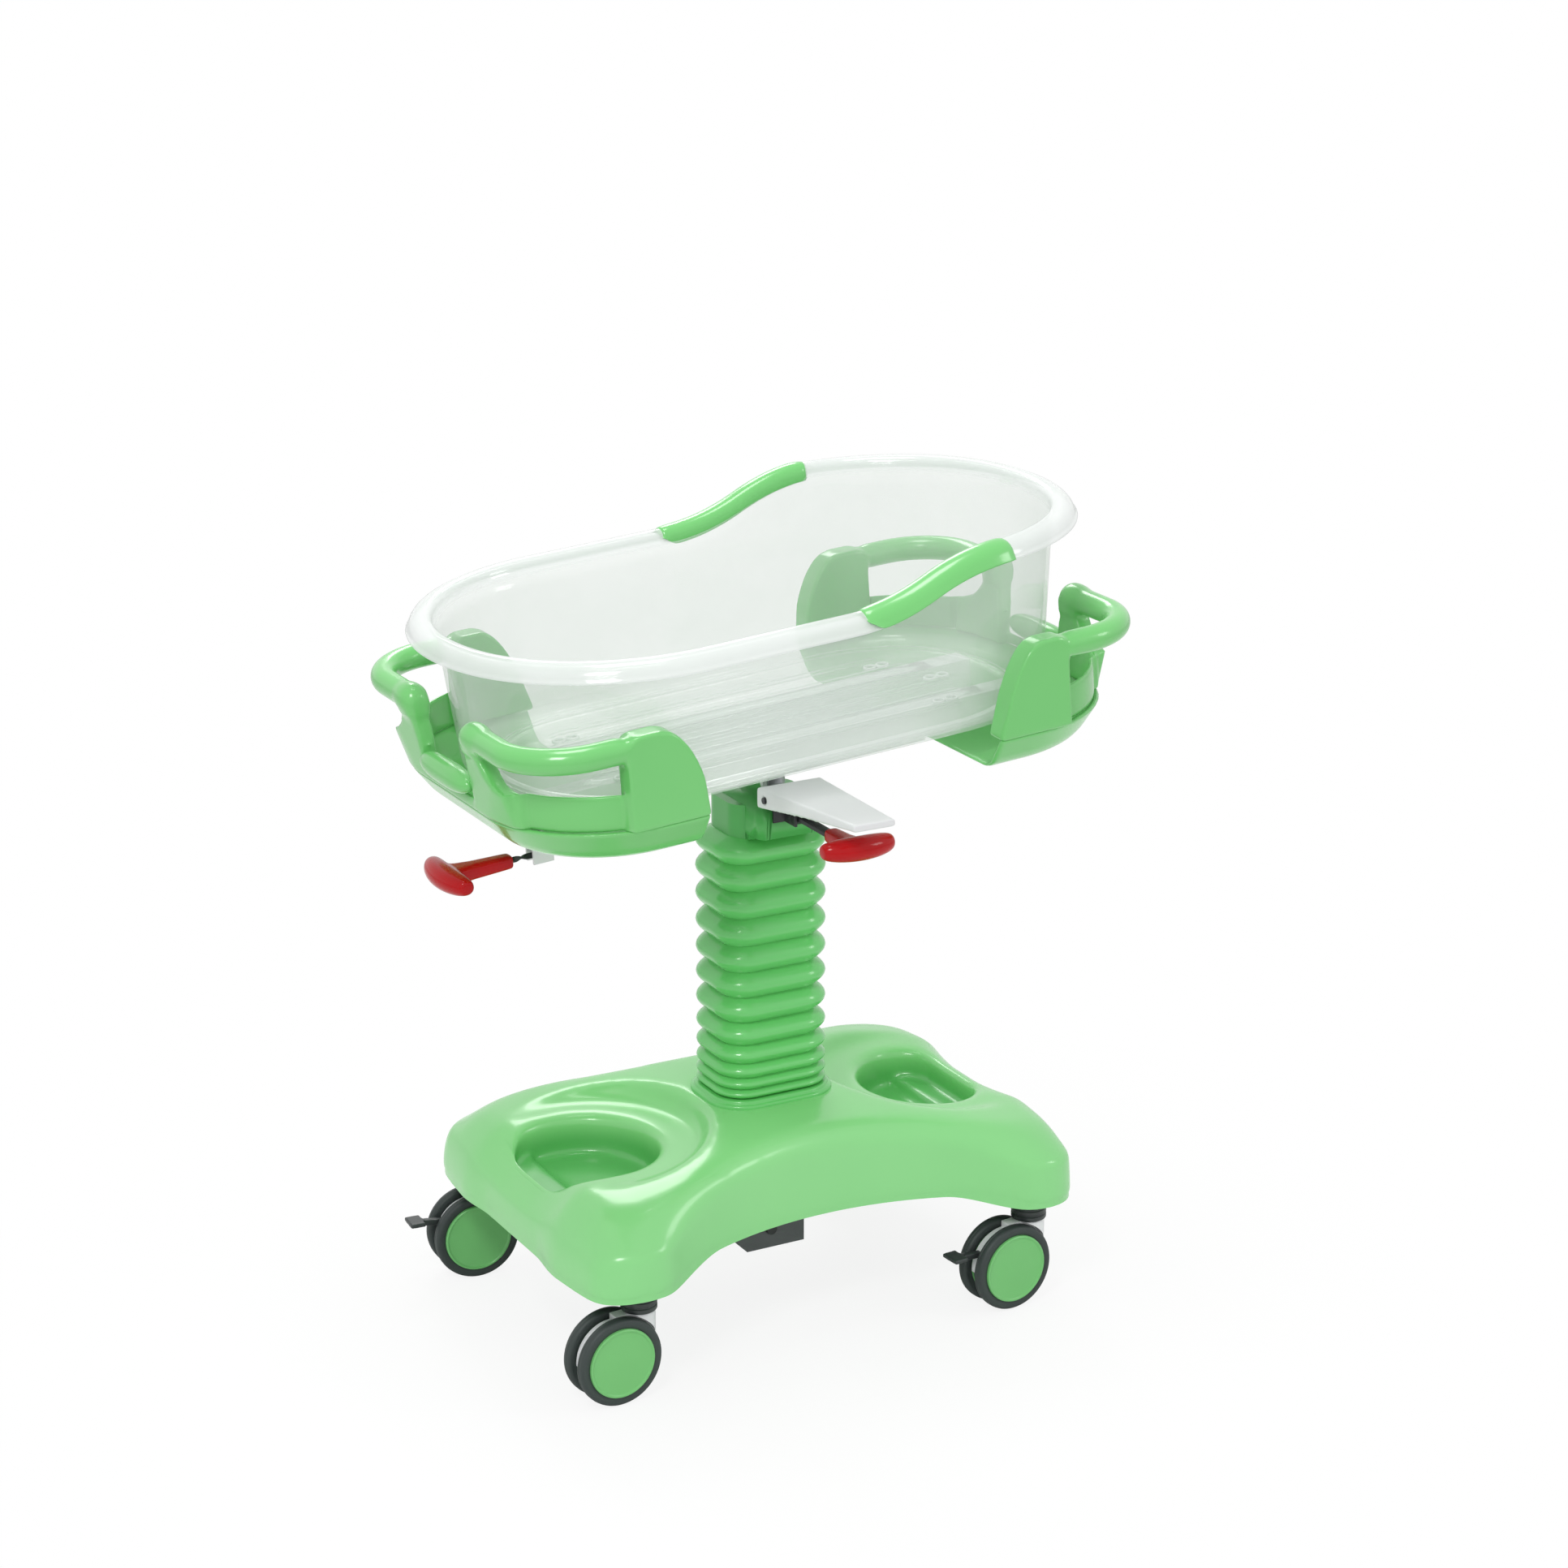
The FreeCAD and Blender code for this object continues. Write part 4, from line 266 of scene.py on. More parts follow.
@dataclass(frozen=True)
class Metal:
    """Bare or coated metal: drawn lines along one axis, dull patches and darker spots.

    Attributes:
        slot: the record's material slot.
        colour: the main colour.
        deep: the colour of its dull patches.
        gloss: the mean roughness.
        metallic: one for bare metal, zero for a coat of paint.
        lines: how the drawn lines are stretched along each axis.
    """

    slot: str
    colour: str
    deep: str
    gloss: float
    metallic: float
    lines: tuple[float, float, float] = (40, 40, 2)

    def material(self) -> bpy.types.Material:
        """Build the material."""
        sheet = NodeSheet(bpy.data.materials.new(self.slot))
        drawn = sheet.noise(30, 3, sheet.stretched(self.lines))
        dull = sheet.spread(sheet.noise(35, 5), 0.4, 0.75)
        colour = sheet.mixed(dull * 0.6, shade(self.colour), shade(self.deep))
        roughness = self.gloss + 0.12 * dull + 0.08 * drawn
        normal = sheet.bump(drawn + sheet.noise(700, 2), 0.00003, 0.4)
        return sheet.principled({
            "Base Color": colour, "Roughness": roughness, "Metallic": self.metallic, "Normal": normal,
        })


@dataclass(frozen=True)
class ClearPlastic:
    """Clear plastic with a milky veil: thin in the wall, thicker in the floor, the rim and seen edge on.

    Attributes:
        slot: the record's material slot.
        colour: the colour of the veil.
        veil: how much of it the wall shows face on.
        floor_veil: how much more the floor shows.
        rim_veil: how much more the rim shows.
        edge_veil: how much more shows edge on.
        gloss: the mean roughness.
    """

    slot: str
    colour: str
    veil: float
    floor_veil: float
    rim_veil: float
    edge_veil: float
    gloss: float

    def material(self) -> bpy.types.Material:
        """Build the material; the UV map's second value tells floor, wall, rim and vent lips apart."""
        sheet = NodeSheet(bpy.data.materials.new(self.slot))
        edge = sheet.node("ShaderNodeLayerWeight", {}, {"Blend": 0.4}, "Facing")
        haze = sheet.spread(sheet.noise(7, 4), 0.3, 0.8)
        flow = sheet.noise(14, 2, sheet.stretched((0.6, 0.6, 3)))
        region = sheet.region()
        above_floor = sheet.spread(region, 0.1, 0.45)
        in_rim = sheet.spread(region, 0.6, 0.95)
        veil = self.veil * (0.85 + 0.3 * haze) + self.floor_veil * (1 - above_floor) + self.rim_veil * in_rim
        # The vent lips get a near-opaque, whiter veil: partly the lip's own milky plastic, partly painted
        # highlight for the glints at the vents.
        in_lip = sheet.spread(region, 1.2, 1.8)
        alpha = veil + self.edge_veil * edge ** 3.0 + 0.8 * in_lip
        colour = sheet.mixed(in_rim * 0.8 + in_lip * 0.2, shade(self.colour), shade("F2F5F4"))
        return sheet.principled({
            "Base Color": colour, "Alpha": alpha, "Roughness": self.gloss + 0.03 * haze,
            "Normal": sheet.bump(flow, 0.0001, 0.05), "IOR": 1.5, "Specular IOR Level": 0.8,
        })


class Finish(Enum):
    """The finishes of the crib; the shell and the holders share a material slot of the record, and the
    holders' darker green is painted shade.
    """

    # The base's wells get painted shade: a darker green deep inside them.
    SHELL = Moulded("green_shell", "8EDC8C", "8AD989", 0.24, coat=0.2, hollow_shade="5FBA64")
    # The holders' green is a darker copy of the shell's green: painted shade.
    HOLDER = Moulded("green_shell", "74C972", "70C66F", 0.22, coat=0.3)
    HEAD = Moulded("green_head", "50B057", "4CAB53", 0.27)
    BELLOWS = Moulded("green_bellows", "6DCE71", "68CA6D", 0.22, coat=0.3)
    DISC = Moulded("green_disc", "79C877", "74C473", 0.3)
    CLEAR = ClearPlastic("clear_tub", "DDE6DF", 0.24, 0.05, 0.3, 0.33, 0.06)
    RED = Moulded("red_handle", "BE0710", "AE060D", 0.14, specular=0.25)
    WHITE = Moulded("white_paddle", "E4E5E6", "DEDFE0", 0.32)
    SILVER = Metal("silver_hood", "F0F1F3", "DADCE0", 0.3, 0.1)
    TYRE = Moulded("dark_tyre", "3A4341", "333B3A", 0.5, grain=0.00006, grain_scale=1500, specular=0.4)
    PAINT = Metal("grey_frame_paint", "5B5F60", "515556", 0.42, 0.0, (4, 4, 4))
    PALE_PAINT = Metal("white_frame_paint", "E6E9E8", "DDE1E0", 0.4, 0.0, (4, 4, 4))
    STEEL = Metal("steel", "C4C7CB", "A9ADB2", 0.26, 1.0)
    BLACK = Moulded("black_plastic", "363C3C", "2F3535", 0.38, grain=0.00005, grain_scale=1300)
    BLACK_PAINT = Metal("black_paint", "26282A", "1F2123", 0.36, 0.0, (4, 4, 4))

    @property
    def slot(self) -> str:
        """The record's material slot."""
        return self.value.slot

    def material(self) -> bpy.types.Material:
        """The material of the finish, made once."""
        if self not in MATERIALS:
            MATERIALS[self] = self.value.material()
        return MATERIALS[self]


MATERIALS: dict[Finish, bpy.types.Material] = {}


# Mesh work

def level_to_row() -> Matrix:
    """The turn from the level cradle to its rest tilt about the pivot."""
    turn = Matrix.Rotation(-CRADLE_TILT, 4, "Y")
    return Matrix.Translation(PIVOT) @ turn @ Matrix.Translation(-PIVOT)


def add_object(name: str, data: Any) -> bpy.types.Object:
    """A new object in the scene."""
    made = bpy.data.objects.new(name, data)
    bpy.context.scene.collection.objects.link(made)
    return made


def mesh_of(bm: bmesh.types.BMesh, name: str) -> bpy.types.Mesh:
    """A mesh from a bmesh, which is freed."""
    mesh = bpy.data.meshes.new(name)
    bm.to_mesh(mesh)
    bm.free()
    return mesh


def transform(bm: bmesh.types.BMesh, matrix: Matrix) -> None:
    """Move every vertex by a matrix, and keep the faces outward if it mirrors."""
    bmesh.ops.transform(bm, matrix=matrix, verts=bm.verts)
    if matrix.determinant() < 0:
        bmesh.ops.reverse_faces(bm, faces=bm.faces)


def copy_of(*nodes: str) -> bmesh.types.BMesh:
    """A merged copy of some CAD nodes' meshes."""
    bm = bmesh.new()
    for node in nodes:
        bm.from_mesh(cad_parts[node].data)
    bmesh.ops.remove_doubles(bm, verts=bm.verts, dist=0.01 * MM)
    return bm


def new_ring(bm: bmesh.types.BMesh, points: Sequence[Vector]) -> list[bmesh.types.BMVert]:
    """A circle of edges moved to a ring of points."""
    ring = bmesh.ops.create_circle(bm, segments=len(points), radius=1)["verts"]
    for vert, point in zip(ring, points):
        vert.co = point
    return ring


def grow_ring(bm: bmesh.types.BMesh, ring: Sequence[bmesh.types.BMVert], points: Sequence[Vector]
              ) -> list[bmesh.types.BMVert]:
    """Extrude a ring's edges to the next ring of points.

    Args:
        bm: the mesh.
        ring: the ring that grows, in order.
        points: where its vertices go.

    Returns:
        The new ring, in the same order.
    """
    edges = [bm.edges.get(pair) for pair in zip(ring, [*ring[1:], ring[0]])]
    made = bmesh.ops.extrude_edge_only(bm, edges=edges)["geom"]
    fresh = {item for item in made if isinstance(item, bmesh.types.BMVert)}
    grown = []
    for vert, point in zip(ring, points):
        other = next(edge.other_vert(vert) for edge in vert.link_edges if edge.other_vert(vert) in fresh)
        other.co = point
        grown.append(other)
    return grown


def skin(bm: bmesh.types.BMesh, rings: Sequence[Ring], capped: bool = True) -> list[list[bmesh.types.BMVert]]:
    """Grow a skin through rings of points.

    Args:
        bm: the mesh.
        rings: the rings, each with the same count of points.
        capped: whether the first and the last ring get a face.

    Returns:
        The vertices of each ring.
    """
    grown = [new_ring(bm, rings[0])]
    for points in rings[1:]:
        grown.append(grow_ring(bm, grown[-1], points))
    if capped:
        bm.faces.new(grown[0])
        bm.faces.new(grown[-1])
    return grown


def close_up(bm: bmesh.types.BMesh) -> None:
    """Merge doubles, drop slivers and loose edges, and turn the faces outward."""
    bmesh.ops.remove_doubles(bm, verts=bm.verts, dist=0.02 * MM)
    bmesh.ops.dissolve_degenerate(bm, edges=bm.edges, dist=0.005 * MM)
    bmesh.ops.delete(bm, geom=[edge for edge in bm.edges if edge.is_wire], context="EDGES")
    bmesh.ops.recalc_face_normals(bm, faces=bm.faces)


def revolve(bm: bmesh.types.BMesh, outline: Sequence[Point], centre: Vector, steps: int = 72) -> None:
    """Spin a closed outline of (radius, along) points about the Y axis through a centre."""
    verts = [bm.verts.new(centre + Vector((radius, along, 0)) * MM) for radius, along in outline]
    edges = [bm.edges.new(pair) for pair in zip(verts, [*verts[1:], verts[0]])]
    bmesh.ops.spin(bm, geom=verts + edges, cent=centre, axis=(0, 1, 0), angle=FULL_TURN, steps=steps,
                   use_merge=True)


def cylinder(bm: bmesh.types.BMesh, radius: float, depth: float, place: Matrix, sides: int,
             flare: float = 1.0) -> None:
    """Add a closed cylinder, in millimetres, whose top is wider by a factor."""
    bmesh.ops.create_cone(bm, cap_ends=True, segments=sides, radius1=radius * MM, radius2=radius * flare * MM,
                          depth=depth * MM, matrix=place)


def write_region(bm: bmesh.types.BMesh, level: Callable[[Vector], float]) -> None:
    """Write a UV map whose second value is the level at each vertex's place in millimetres."""
    layer = bm.loops.layers.uv.new("region")
    for face in bm.faces:
        for loop in face.loops:
            loop[layer].uv = (0.5, level(loop.vert.co / MM))


def soften(bm: bmesh.types.BMesh, passes: int, verts: Optional[Iterable[bmesh.types.BMVert]] = None) -> None:
    """Let vertices settle between their neighbours a number of times."""
    chosen = list(verts if verts is not None else bm.verts)
    for _ in range(passes):
        bmesh.ops.smooth_vert(bm, verts=chosen, factor=0.5, use_axis_x=True, use_axis_y=True, use_axis_z=True)


def evaluated(bm: bmesh.types.BMesh, kind: str, settings: dict[str, Any]) -> None:
    """Run one modifier over a bmesh.

    Args:
        bm: the mesh, replaced by the result.
        kind: the modifier's type.
        settings: its properties.
    """
    mesh = bpy.data.meshes.new("work")
    bm.to_mesh(mesh)
    holder = add_object("work", mesh)
    modifier = holder.modifiers.new("work", kind)
    for name, value in settings.items():
        setattr(modifier, name, value)
    graph = bpy.context.evaluated_depsgraph_get()
    result = bpy.data.meshes.new_from_object(holder.evaluated_get(graph))
    bm.clear()
    bm.from_mesh(result)
    bpy.data.objects.remove(holder)
    for old in (mesh, result):
        bpy.data.meshes.remove(old)


def join(bm: bmesh.types.BMesh, other: bmesh.types.BMesh) -> None:
    """Add another bmesh to a bmesh; the other one is freed."""
    mesh = mesh_of(other, "joined")
    bm.from_mesh(mesh)
    bpy.data.meshes.remove(mesh)


def carve(bm: bmesh.types.BMesh, tool: bmesh.types.BMesh) -> None:
    """Take a closed tool out of a closed bmesh; the tool is freed."""
    mesh = mesh_of(tool, "tool")
    cutter = add_object("tool", mesh)
    evaluated(bm, "BOOLEAN", {"operation": "DIFFERENCE", "solver": "EXACT", "object": cutter})
    bpy.data.objects.remove(cutter)
    bpy.data.meshes.remove(mesh)


def one_skin(bm: bmesh.types.BMesh, cell: float, passes: int) -> None:
    """Weld closed shapes into one skin of small squares, as a mould would, and soften its edges."""
    evaluated(bm, "REMESH", {"mode": "VOXEL", "voxel_size": cell * MM})
    soften(bm, passes)


def bevelled(bm: bmesh.types.BMesh, width: float, segments: int = 2, least_angle: float = 30) -> None:
    """Dissolve flat faces and round the sharp edges of a merged CAD copy.

    Args:
        bm: the mesh.
        width: the width of the rounding in millimetres.
        segments: how many faces round an edge.
        least_angle: the least angle in degrees between faces at a rounded edge.
    """
    bmesh.ops.dissolve_limit(bm, angle_limit=math.radians(2), verts=bm.verts, edges=bm.edges)
    sharp = [edge for edge in bm.edges if len(edge.link_faces) == 2
             and edge.calc_face_angle() > math.radians(least_angle)]
    bmesh.ops.bevel(bm, geom=sharp, offset=width * MM, affect="EDGES", segments=segments, profile=0.5,
                    material=-1, clamp_overlap=True)


def ramp(value: float, low: float, high: float) -> float:
    """A smooth step from zero at low to one at high."""
    share = min(max((value - low) / (high - low), 0), 1)
    return share * share * (3 - 2 * share)


def make_piece(name: str, bm: bmesh.types.BMesh, finish: Finish, body: str, nodes: Sequence[str] = (),
               sharp: float = 50, levels: int = 0) -> bpy.types.Object:
    """Turn a finished bmesh into a dressed piece that rides on a body.

    Args:
        name: the piece's name.
        bm: its mesh in the row frame, freed here.
        finish: its finish.
        body: the CAD body it rides on.
        nodes: the CAD nodes it stands for.
        sharp: the angle in degrees above which an edge stays sharp.
        levels: subdivision levels, in view and render alike.

    Returns:
        The new object.
    """
    mesh = mesh_of(bm, name)
    mesh.shade_smooth()
    mesh.set_sharp_from_angle(angle=math.radians(sharp))
    mesh.materials.append(finish.material())
    piece = add_object(name, mesh)
    if levels:
        rounding = piece.modifiers.new("rounding", "SUBSURF")
        rounding.levels = rounding.render_levels = levels
    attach(piece, body)
    finish.slot
    if nodes:
        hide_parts(*nodes)
    LOG.info("%s: %d faces on %s", name, len(mesh.polygons), body)
    return piece


def make_formed(name: str, node: str, finish: Finish, body: str, width: float, sharp: float = 50) -> None:
    """Dress a CAD node's own form, its edges rounded by a width in millimetres."""
    bm = copy_of(node)
    bevelled(bm, width)
    make_piece(name, bm, finish, body, [node], sharp)


# Plans

def arc(centre: Point, radius: float, first: float, last: float, count: int) -> list[Point]:
    """Points along an arc, without its last point."""
    angles = [first + (last - first) * index / count for index in range(count)]
    return [(centre[0] + radius * math.cos(angle), centre[1] + radius * math.sin(angle)) for angle in angles]


def run(first: Point, last: Point, count: int) -> list[Point]:
    """Points along a straight run, without its last point."""
    return [tuple(a + (b - a) * index / count for a, b in zip(first, last)) for index in range(count)]


def oval(half_x: float, half_y: float, counts: tuple[int, int, int] = (12, 30, 48)) -> list[Point]:
    """The tub's plan in millimetres: gently curved ends, round corners and straight sides.

    Args:
        half_x: half its length.
        half_y: half its width.
        counts: how many points an end, a corner and a side get.

    Returns:
        The points, from the head end's front corner round the back.
    """
    end_count, corner_count, side_count = counts
    end, corner = 1.2 * half_y, 0.927 * half_y
    centre_y = half_y - corner
    reach = math.sqrt(max((end - corner) ** 2 - centre_y ** 2, 0))
    lean = math.atan2(centre_y, reach)
    end_x = half_x - end
    corner_x = end_x + reach
    quarter = math.pi / 2
    return [
        *arc((end_x, 0), end, -lean, lean, end_count),
        *arc((corner_x, centre_y), corner, lean, quarter, corner_count),
        *run((corner_x, half_y), (-corner_x, half_y), side_count),
        *arc((-corner_x, centre_y), corner, quarter, 2 * quarter - lean, corner_count),
        *arc((-end_x, 0), end, 2 * quarter - lean, 2 * quarter + lean, end_count),
        *arc((-corner_x, -centre_y), corner, 2 * quarter + lean, 3 * quarter, corner_count),
        *run((-corner_x, -half_y), (corner_x, -half_y), side_count),
        *arc((corner_x, -centre_y), corner, -quarter, -lean, corner_count),
    ]


def rounded_box(half_x: float, half_y: float, corner: float, counts: tuple[int, int, int] = (16, 8, 8)
                ) -> list[Point]:
    """A rectangle with round corners in millimetres.

    Args:
        half_x: half its length.
        half_y: half its width.
        corner: the radius of its corners.
        counts: how many points a corner, a long side and a short side get.

    Returns:
        The points, in order.
    """
    corner_count, long_count, short_count = counts
    x, y, quarter = half_x - corner, half_y - corner, math.pi / 2
    return [
        *run((half_x, -y), (half_x, y), short_count),
        *arc((x, y), corner, 0, quarter, corner_count),
        *run((x, half_y), (-x, half_y), long_count),
        *arc((-x, y), corner, quarter, 2 * quarter, corner_count),
        *run((-half_x, y), (-half_x, -y), short_count),
        *arc((-x, -y), corner, 2 * quarter, 3 * quarter, corner_count),
        *run((-x, -half_y), (x, -half_y), long_count),
        *arc((x, -y), corner, -quarter, 0, corner_count),
    ]


def at_level(plan: Sequence[Point], z: float) -> Ring:
    """A plan's points at one height, in metres."""
    return [Vector((x, y, z)) * MM for x, y in plan]


def circle(radius: float, count: int) -> list[Point]:
    """The points of a circle round the origin, in millimetres."""
    return arc((0, 0), radius, 0, FULL_TURN, count)


# Base

@dataclass
class BaseCover:
    """The moulded cover of the base: one thick soft-edged skin, open underneath.

    Attributes:
        cell: the size of the skin's squares in millimetres.
        passes: how often its edges are softened.
        dish_passes: how often the dishes round the wells are softened.
        last_passes: how often all of it is softened in the end.
        edge_passes: how often its open lower edge is evened out.
        wall: the wall's thickness in millimetres.
        lower_edge: the height in millimetres below which its lower edge lies.
        column_hole: a radius in millimetres just beyond the column's hole.
        boss: the radius, lowest and highest level of a screw boss.
        boss_x: the screw bosses from the middle, along the crib.
        boss_y: the screw bosses from the middle, across the crib.
        skirt: the height that the wall first runs down to.
        foot_level: the height of the wall's lower edge at the feet.
        arch: how much higher it lies in the middle of a long side.
        end_roll: how far the ends roll down between the feet, and where that starts and ends along the crib.
        corner_roll: how far the feet's corners roll down, and the distances from the foot's middle for it.
        foot: the middle of a foot, along and across.
        draw: how far the foot end is drawn out, how much more at its feet, and how far the head end goes in.
        draw_span: where that starts and ends along the crib.
        well: half the width of a well and its two ends along the crib.
        well_levels: the floor of the wells and the level of their edges.
        dish: the softened dish round a well: its two ends along, half its width and its lowest level.
    """

    cell: float = 3.0
    passes: int = 16
    dish_passes: int = 24
    last_passes: int = 6
    edge_passes: int = 60
    wall: float = 4.0
    lower_edge: float = 148
    column_hole: float = 39
    boss: tuple[float, float, float] = (8, 155, 208)
    boss_x: float = 247
    boss_y: float = 118
    skirt: float = 100
    foot_level: float = 125
    arch: float = 16
    end_roll: tuple[float, float, float] = (20, 232, 306)
    corner_roll: tuple[float, float, float] = (22, 15, 80)
    foot: Point = (230, 140)
    draw: tuple[float, float, float] = (14, 7, 4)
    draw_span: Point = (226, 286)
    well: tuple[float, float, float] = (84, 138, 282)
    well_levels: Point = (150, 204)
    dish: tuple[float, float, float, float] = (79, 300, 160, 186)

    def build(self) -> None:
        """Build the cover."""
        bm = copy_of("base_cover")
        self.keep_outside(bm)
        one_skin(bm, self.cell, self.passes)
        self.open_underside(bm)
        soften(bm, self.dish_passes, [vert for vert in bm.verts if self.in_dish(vert.co / MM)])
        self.sculpt(bm)
        soften(bm, self.last_passes)
        self.trim_lower_edge(bm)
        hole_radius = (self.column_hole - 1) * MM
        hole = [face for face in bm.faces if face.calc_center_median().xy.length < hole_radius]
        bmesh.ops.delete(bm, geom=hole, context="FACES")
        self.keep_joined(bm)
        evaluated(bm, "SOLIDIFY", {"thickness": self.wall * MM, "offset": -1, "use_even_offset": True})
        # The UV map marks where the wells get painted shade.
        write_region(bm, self.well_shade_share)
        radius, low, high = self.boss
        for x in (-self.boss_x, self.boss_x):
            for y in (-self.boss_y, self.boss_y):
                middle = Matrix.Translation(Vector((x, y, (low + high) / 2)) * MM)
                cylinder(bm, radius, high - low, middle, 32, 1.1)
        make_piece("base_cover_shell", bm, Finish.SHELL, "base", ["base_cover"])

    def keep_outside(self, bm: bmesh.types.BMesh) -> None:
        """Cut the CAD shell open along its lower edge and column hole, and keep its closed outer side."""
        lower = [face for face in bm.faces if face.normal.z < -0.6
                 and face.calc_center_median().z < self.lower_edge * MM]
        hole = [face for face in bm.faces if abs(face.normal.z) < 0.3
                and all(vert.co.xy.length < self.column_hole * MM for vert in face.verts)]
        bmesh.ops.delete(bm, geom=lower + hole, context="FACES")
        self.keep_joined(bm)
        bmesh.ops.holes_fill(bm, edges=[edge for edge in bm.edges if edge.is_boundary], sides=0)
        bmesh.ops.recalc_face_normals(bm, faces=bm.faces)

    def keep_joined(self, bm: bmesh.types.BMesh) -> None:
        """Keep what is joined to the highest vertex and drop the rest."""
        highest = max(bm.verts, key=lambda vert: vert.co.z)
        outside, edge_of_search = {highest}, [highest]
        while edge_of_search:
            vert = edge_of_search.pop()
            for edge in vert.link_edges:
                other = edge.other_vert(vert)
                if edge.link_faces and other not in outside:
                    outside.add(other)
                    edge_of_search.append(other)
        bmesh.ops.delete(bm, geom=[vert for vert in bm.verts if vert not in outside], context="VERTS")

    def sculpt(self, bm: bmesh.types.BMesh) -> None:
        """Roll the ends down between the raised feet, round the feet's corners and draw the foot end out."""
        rolled, *roll_span = self.end_roll
        cornered, *corner_span = self.corner_roll
        drawn, drawn_feet, drawn_in = self.draw
        foot_x, foot_y = self.foot
        for vert in bm.verts:
            x, y, z = vert.co / MM
            end, side, high = abs(x), abs(y), ramp(z, 150, 225)
            drop = rolled * ramp(end, *roll_span) * (1 - ramp(side, 20, 112)) * high
            beyond = math.hypot(max(end - foot_x, 0), max(side - foot_y, 0))
            drop += cornered * ramp(beyond, *corner_span) ** 2 * high
            reach = (drawn + drawn_feet * ramp(side, 60, 125)) * ramp(-x, *self.draw_span)
            reach = reach * (1 - 0.6 * ramp(z, 140, 225)) - drawn_in * ramp(x, *self.draw_span)
            vert.co += Vector((math.copysign(reach, x), 0, -drop)) * MM

    def in_well(self, place: Vector, spare: float) -> bool:
        """Whether a place in millimetres lies in one of the wells, with some room round them."""
        x, y, z = place
        half, near, far = self.well
        low, high = self.well_levels
        return abs(y) < half + spare and near - spare < abs(x) < far + spare and low < z < high

    def in_dish(self, place: Vector) -> bool:
        """Whether a place in millimetres lies on the dish round one of the wells, outside the well itself."""
        near, far, half, low = self.dish
        over_dish = near < abs(place.x) < far and abs(place.y) < half and place.z > low
        return over_dish and not self.in_well(place, 5)

    def well_shade_share(self, place: Vector) -> float:
        """The share of painted shade in the wells: one deep in them and zero outside them, at a place in
        millimetres.
        """
        return 1 - ramp(place.z, 182, 206) if self.in_well(place, 0) else 0.0

    def trim_lower_edge(self, bm: bmesh.types.BMesh) -> None:
        """Let the wall run straight down and cut it off along its arched lower edge."""
        made = bmesh.ops.extrude_edge_only(bm, edges=[edge for edge in bm.edges if edge.is_boundary])["geom"]
        for item in made:
            if isinstance(item, bmesh.types.BMVert):
                item.co.z = self.skirt * MM
        self.shift_by_edge(bm, -1)
        everything = [*bm.verts, *bm.edges, *bm.faces]
        bmesh.ops.bisect_plane(bm, geom=everything, plane_co=(0, 0, 0), plane_no=(0, 0, 1), clear_inner=True)
        self.shift_by_edge(bm, 1)

    def shift_by_edge(self, bm: bmesh.types.BMesh, direction: float) -> None:
        """Move every vertex up or down by the height of the lower edge at its place."""
        for vert in bm.verts:
            x, y, _ = vert.co / MM
            rise = self.arch * (1 - ramp(abs(x), 140, 224)) * ramp(abs(y), 108, 138)
            vert.co.z += direction * (self.foot_level + rise) * MM

    def open_underside(self, bm: bmesh.types.BMesh) -> None:
        """Take out the faces that close the underside and even out the edge that is left."""
        under = [face for face in bm.faces if face.normal.z < -0.3
                 and face.calc_center_median().z < (self.lower_edge + self.cell) * MM]
        bmesh.ops.delete(bm, geom=under, context="FACES")
        rim = [vert for vert in bm.verts if vert.is_boundary]
        for _ in range(self.edge_passes):
            moved = {}
            for vert in rim:
                beside = [edge.other_vert(vert).co for edge in vert.link_edges if edge.is_boundary]
                moved[vert] = (vert.co * 2 + beside[0] + beside[1]) / 4
            for vert, place in moved.items():
                vert.co = place


@dataclass
class SpringBox:
    """The steel box under the base with its bolts, edges folded round."""

    fold: float = 1.6

    def build(self) -> None:
        """Build the box and the bolts."""
        make_formed("spring_box", "column_mount_box", Finish.PAINT, "base", self.fold)
        make_formed("spring_box_bolts", "mount_box_bolts", Finish.BLACK_PAINT, "base", self.fold / 2)


# Castors

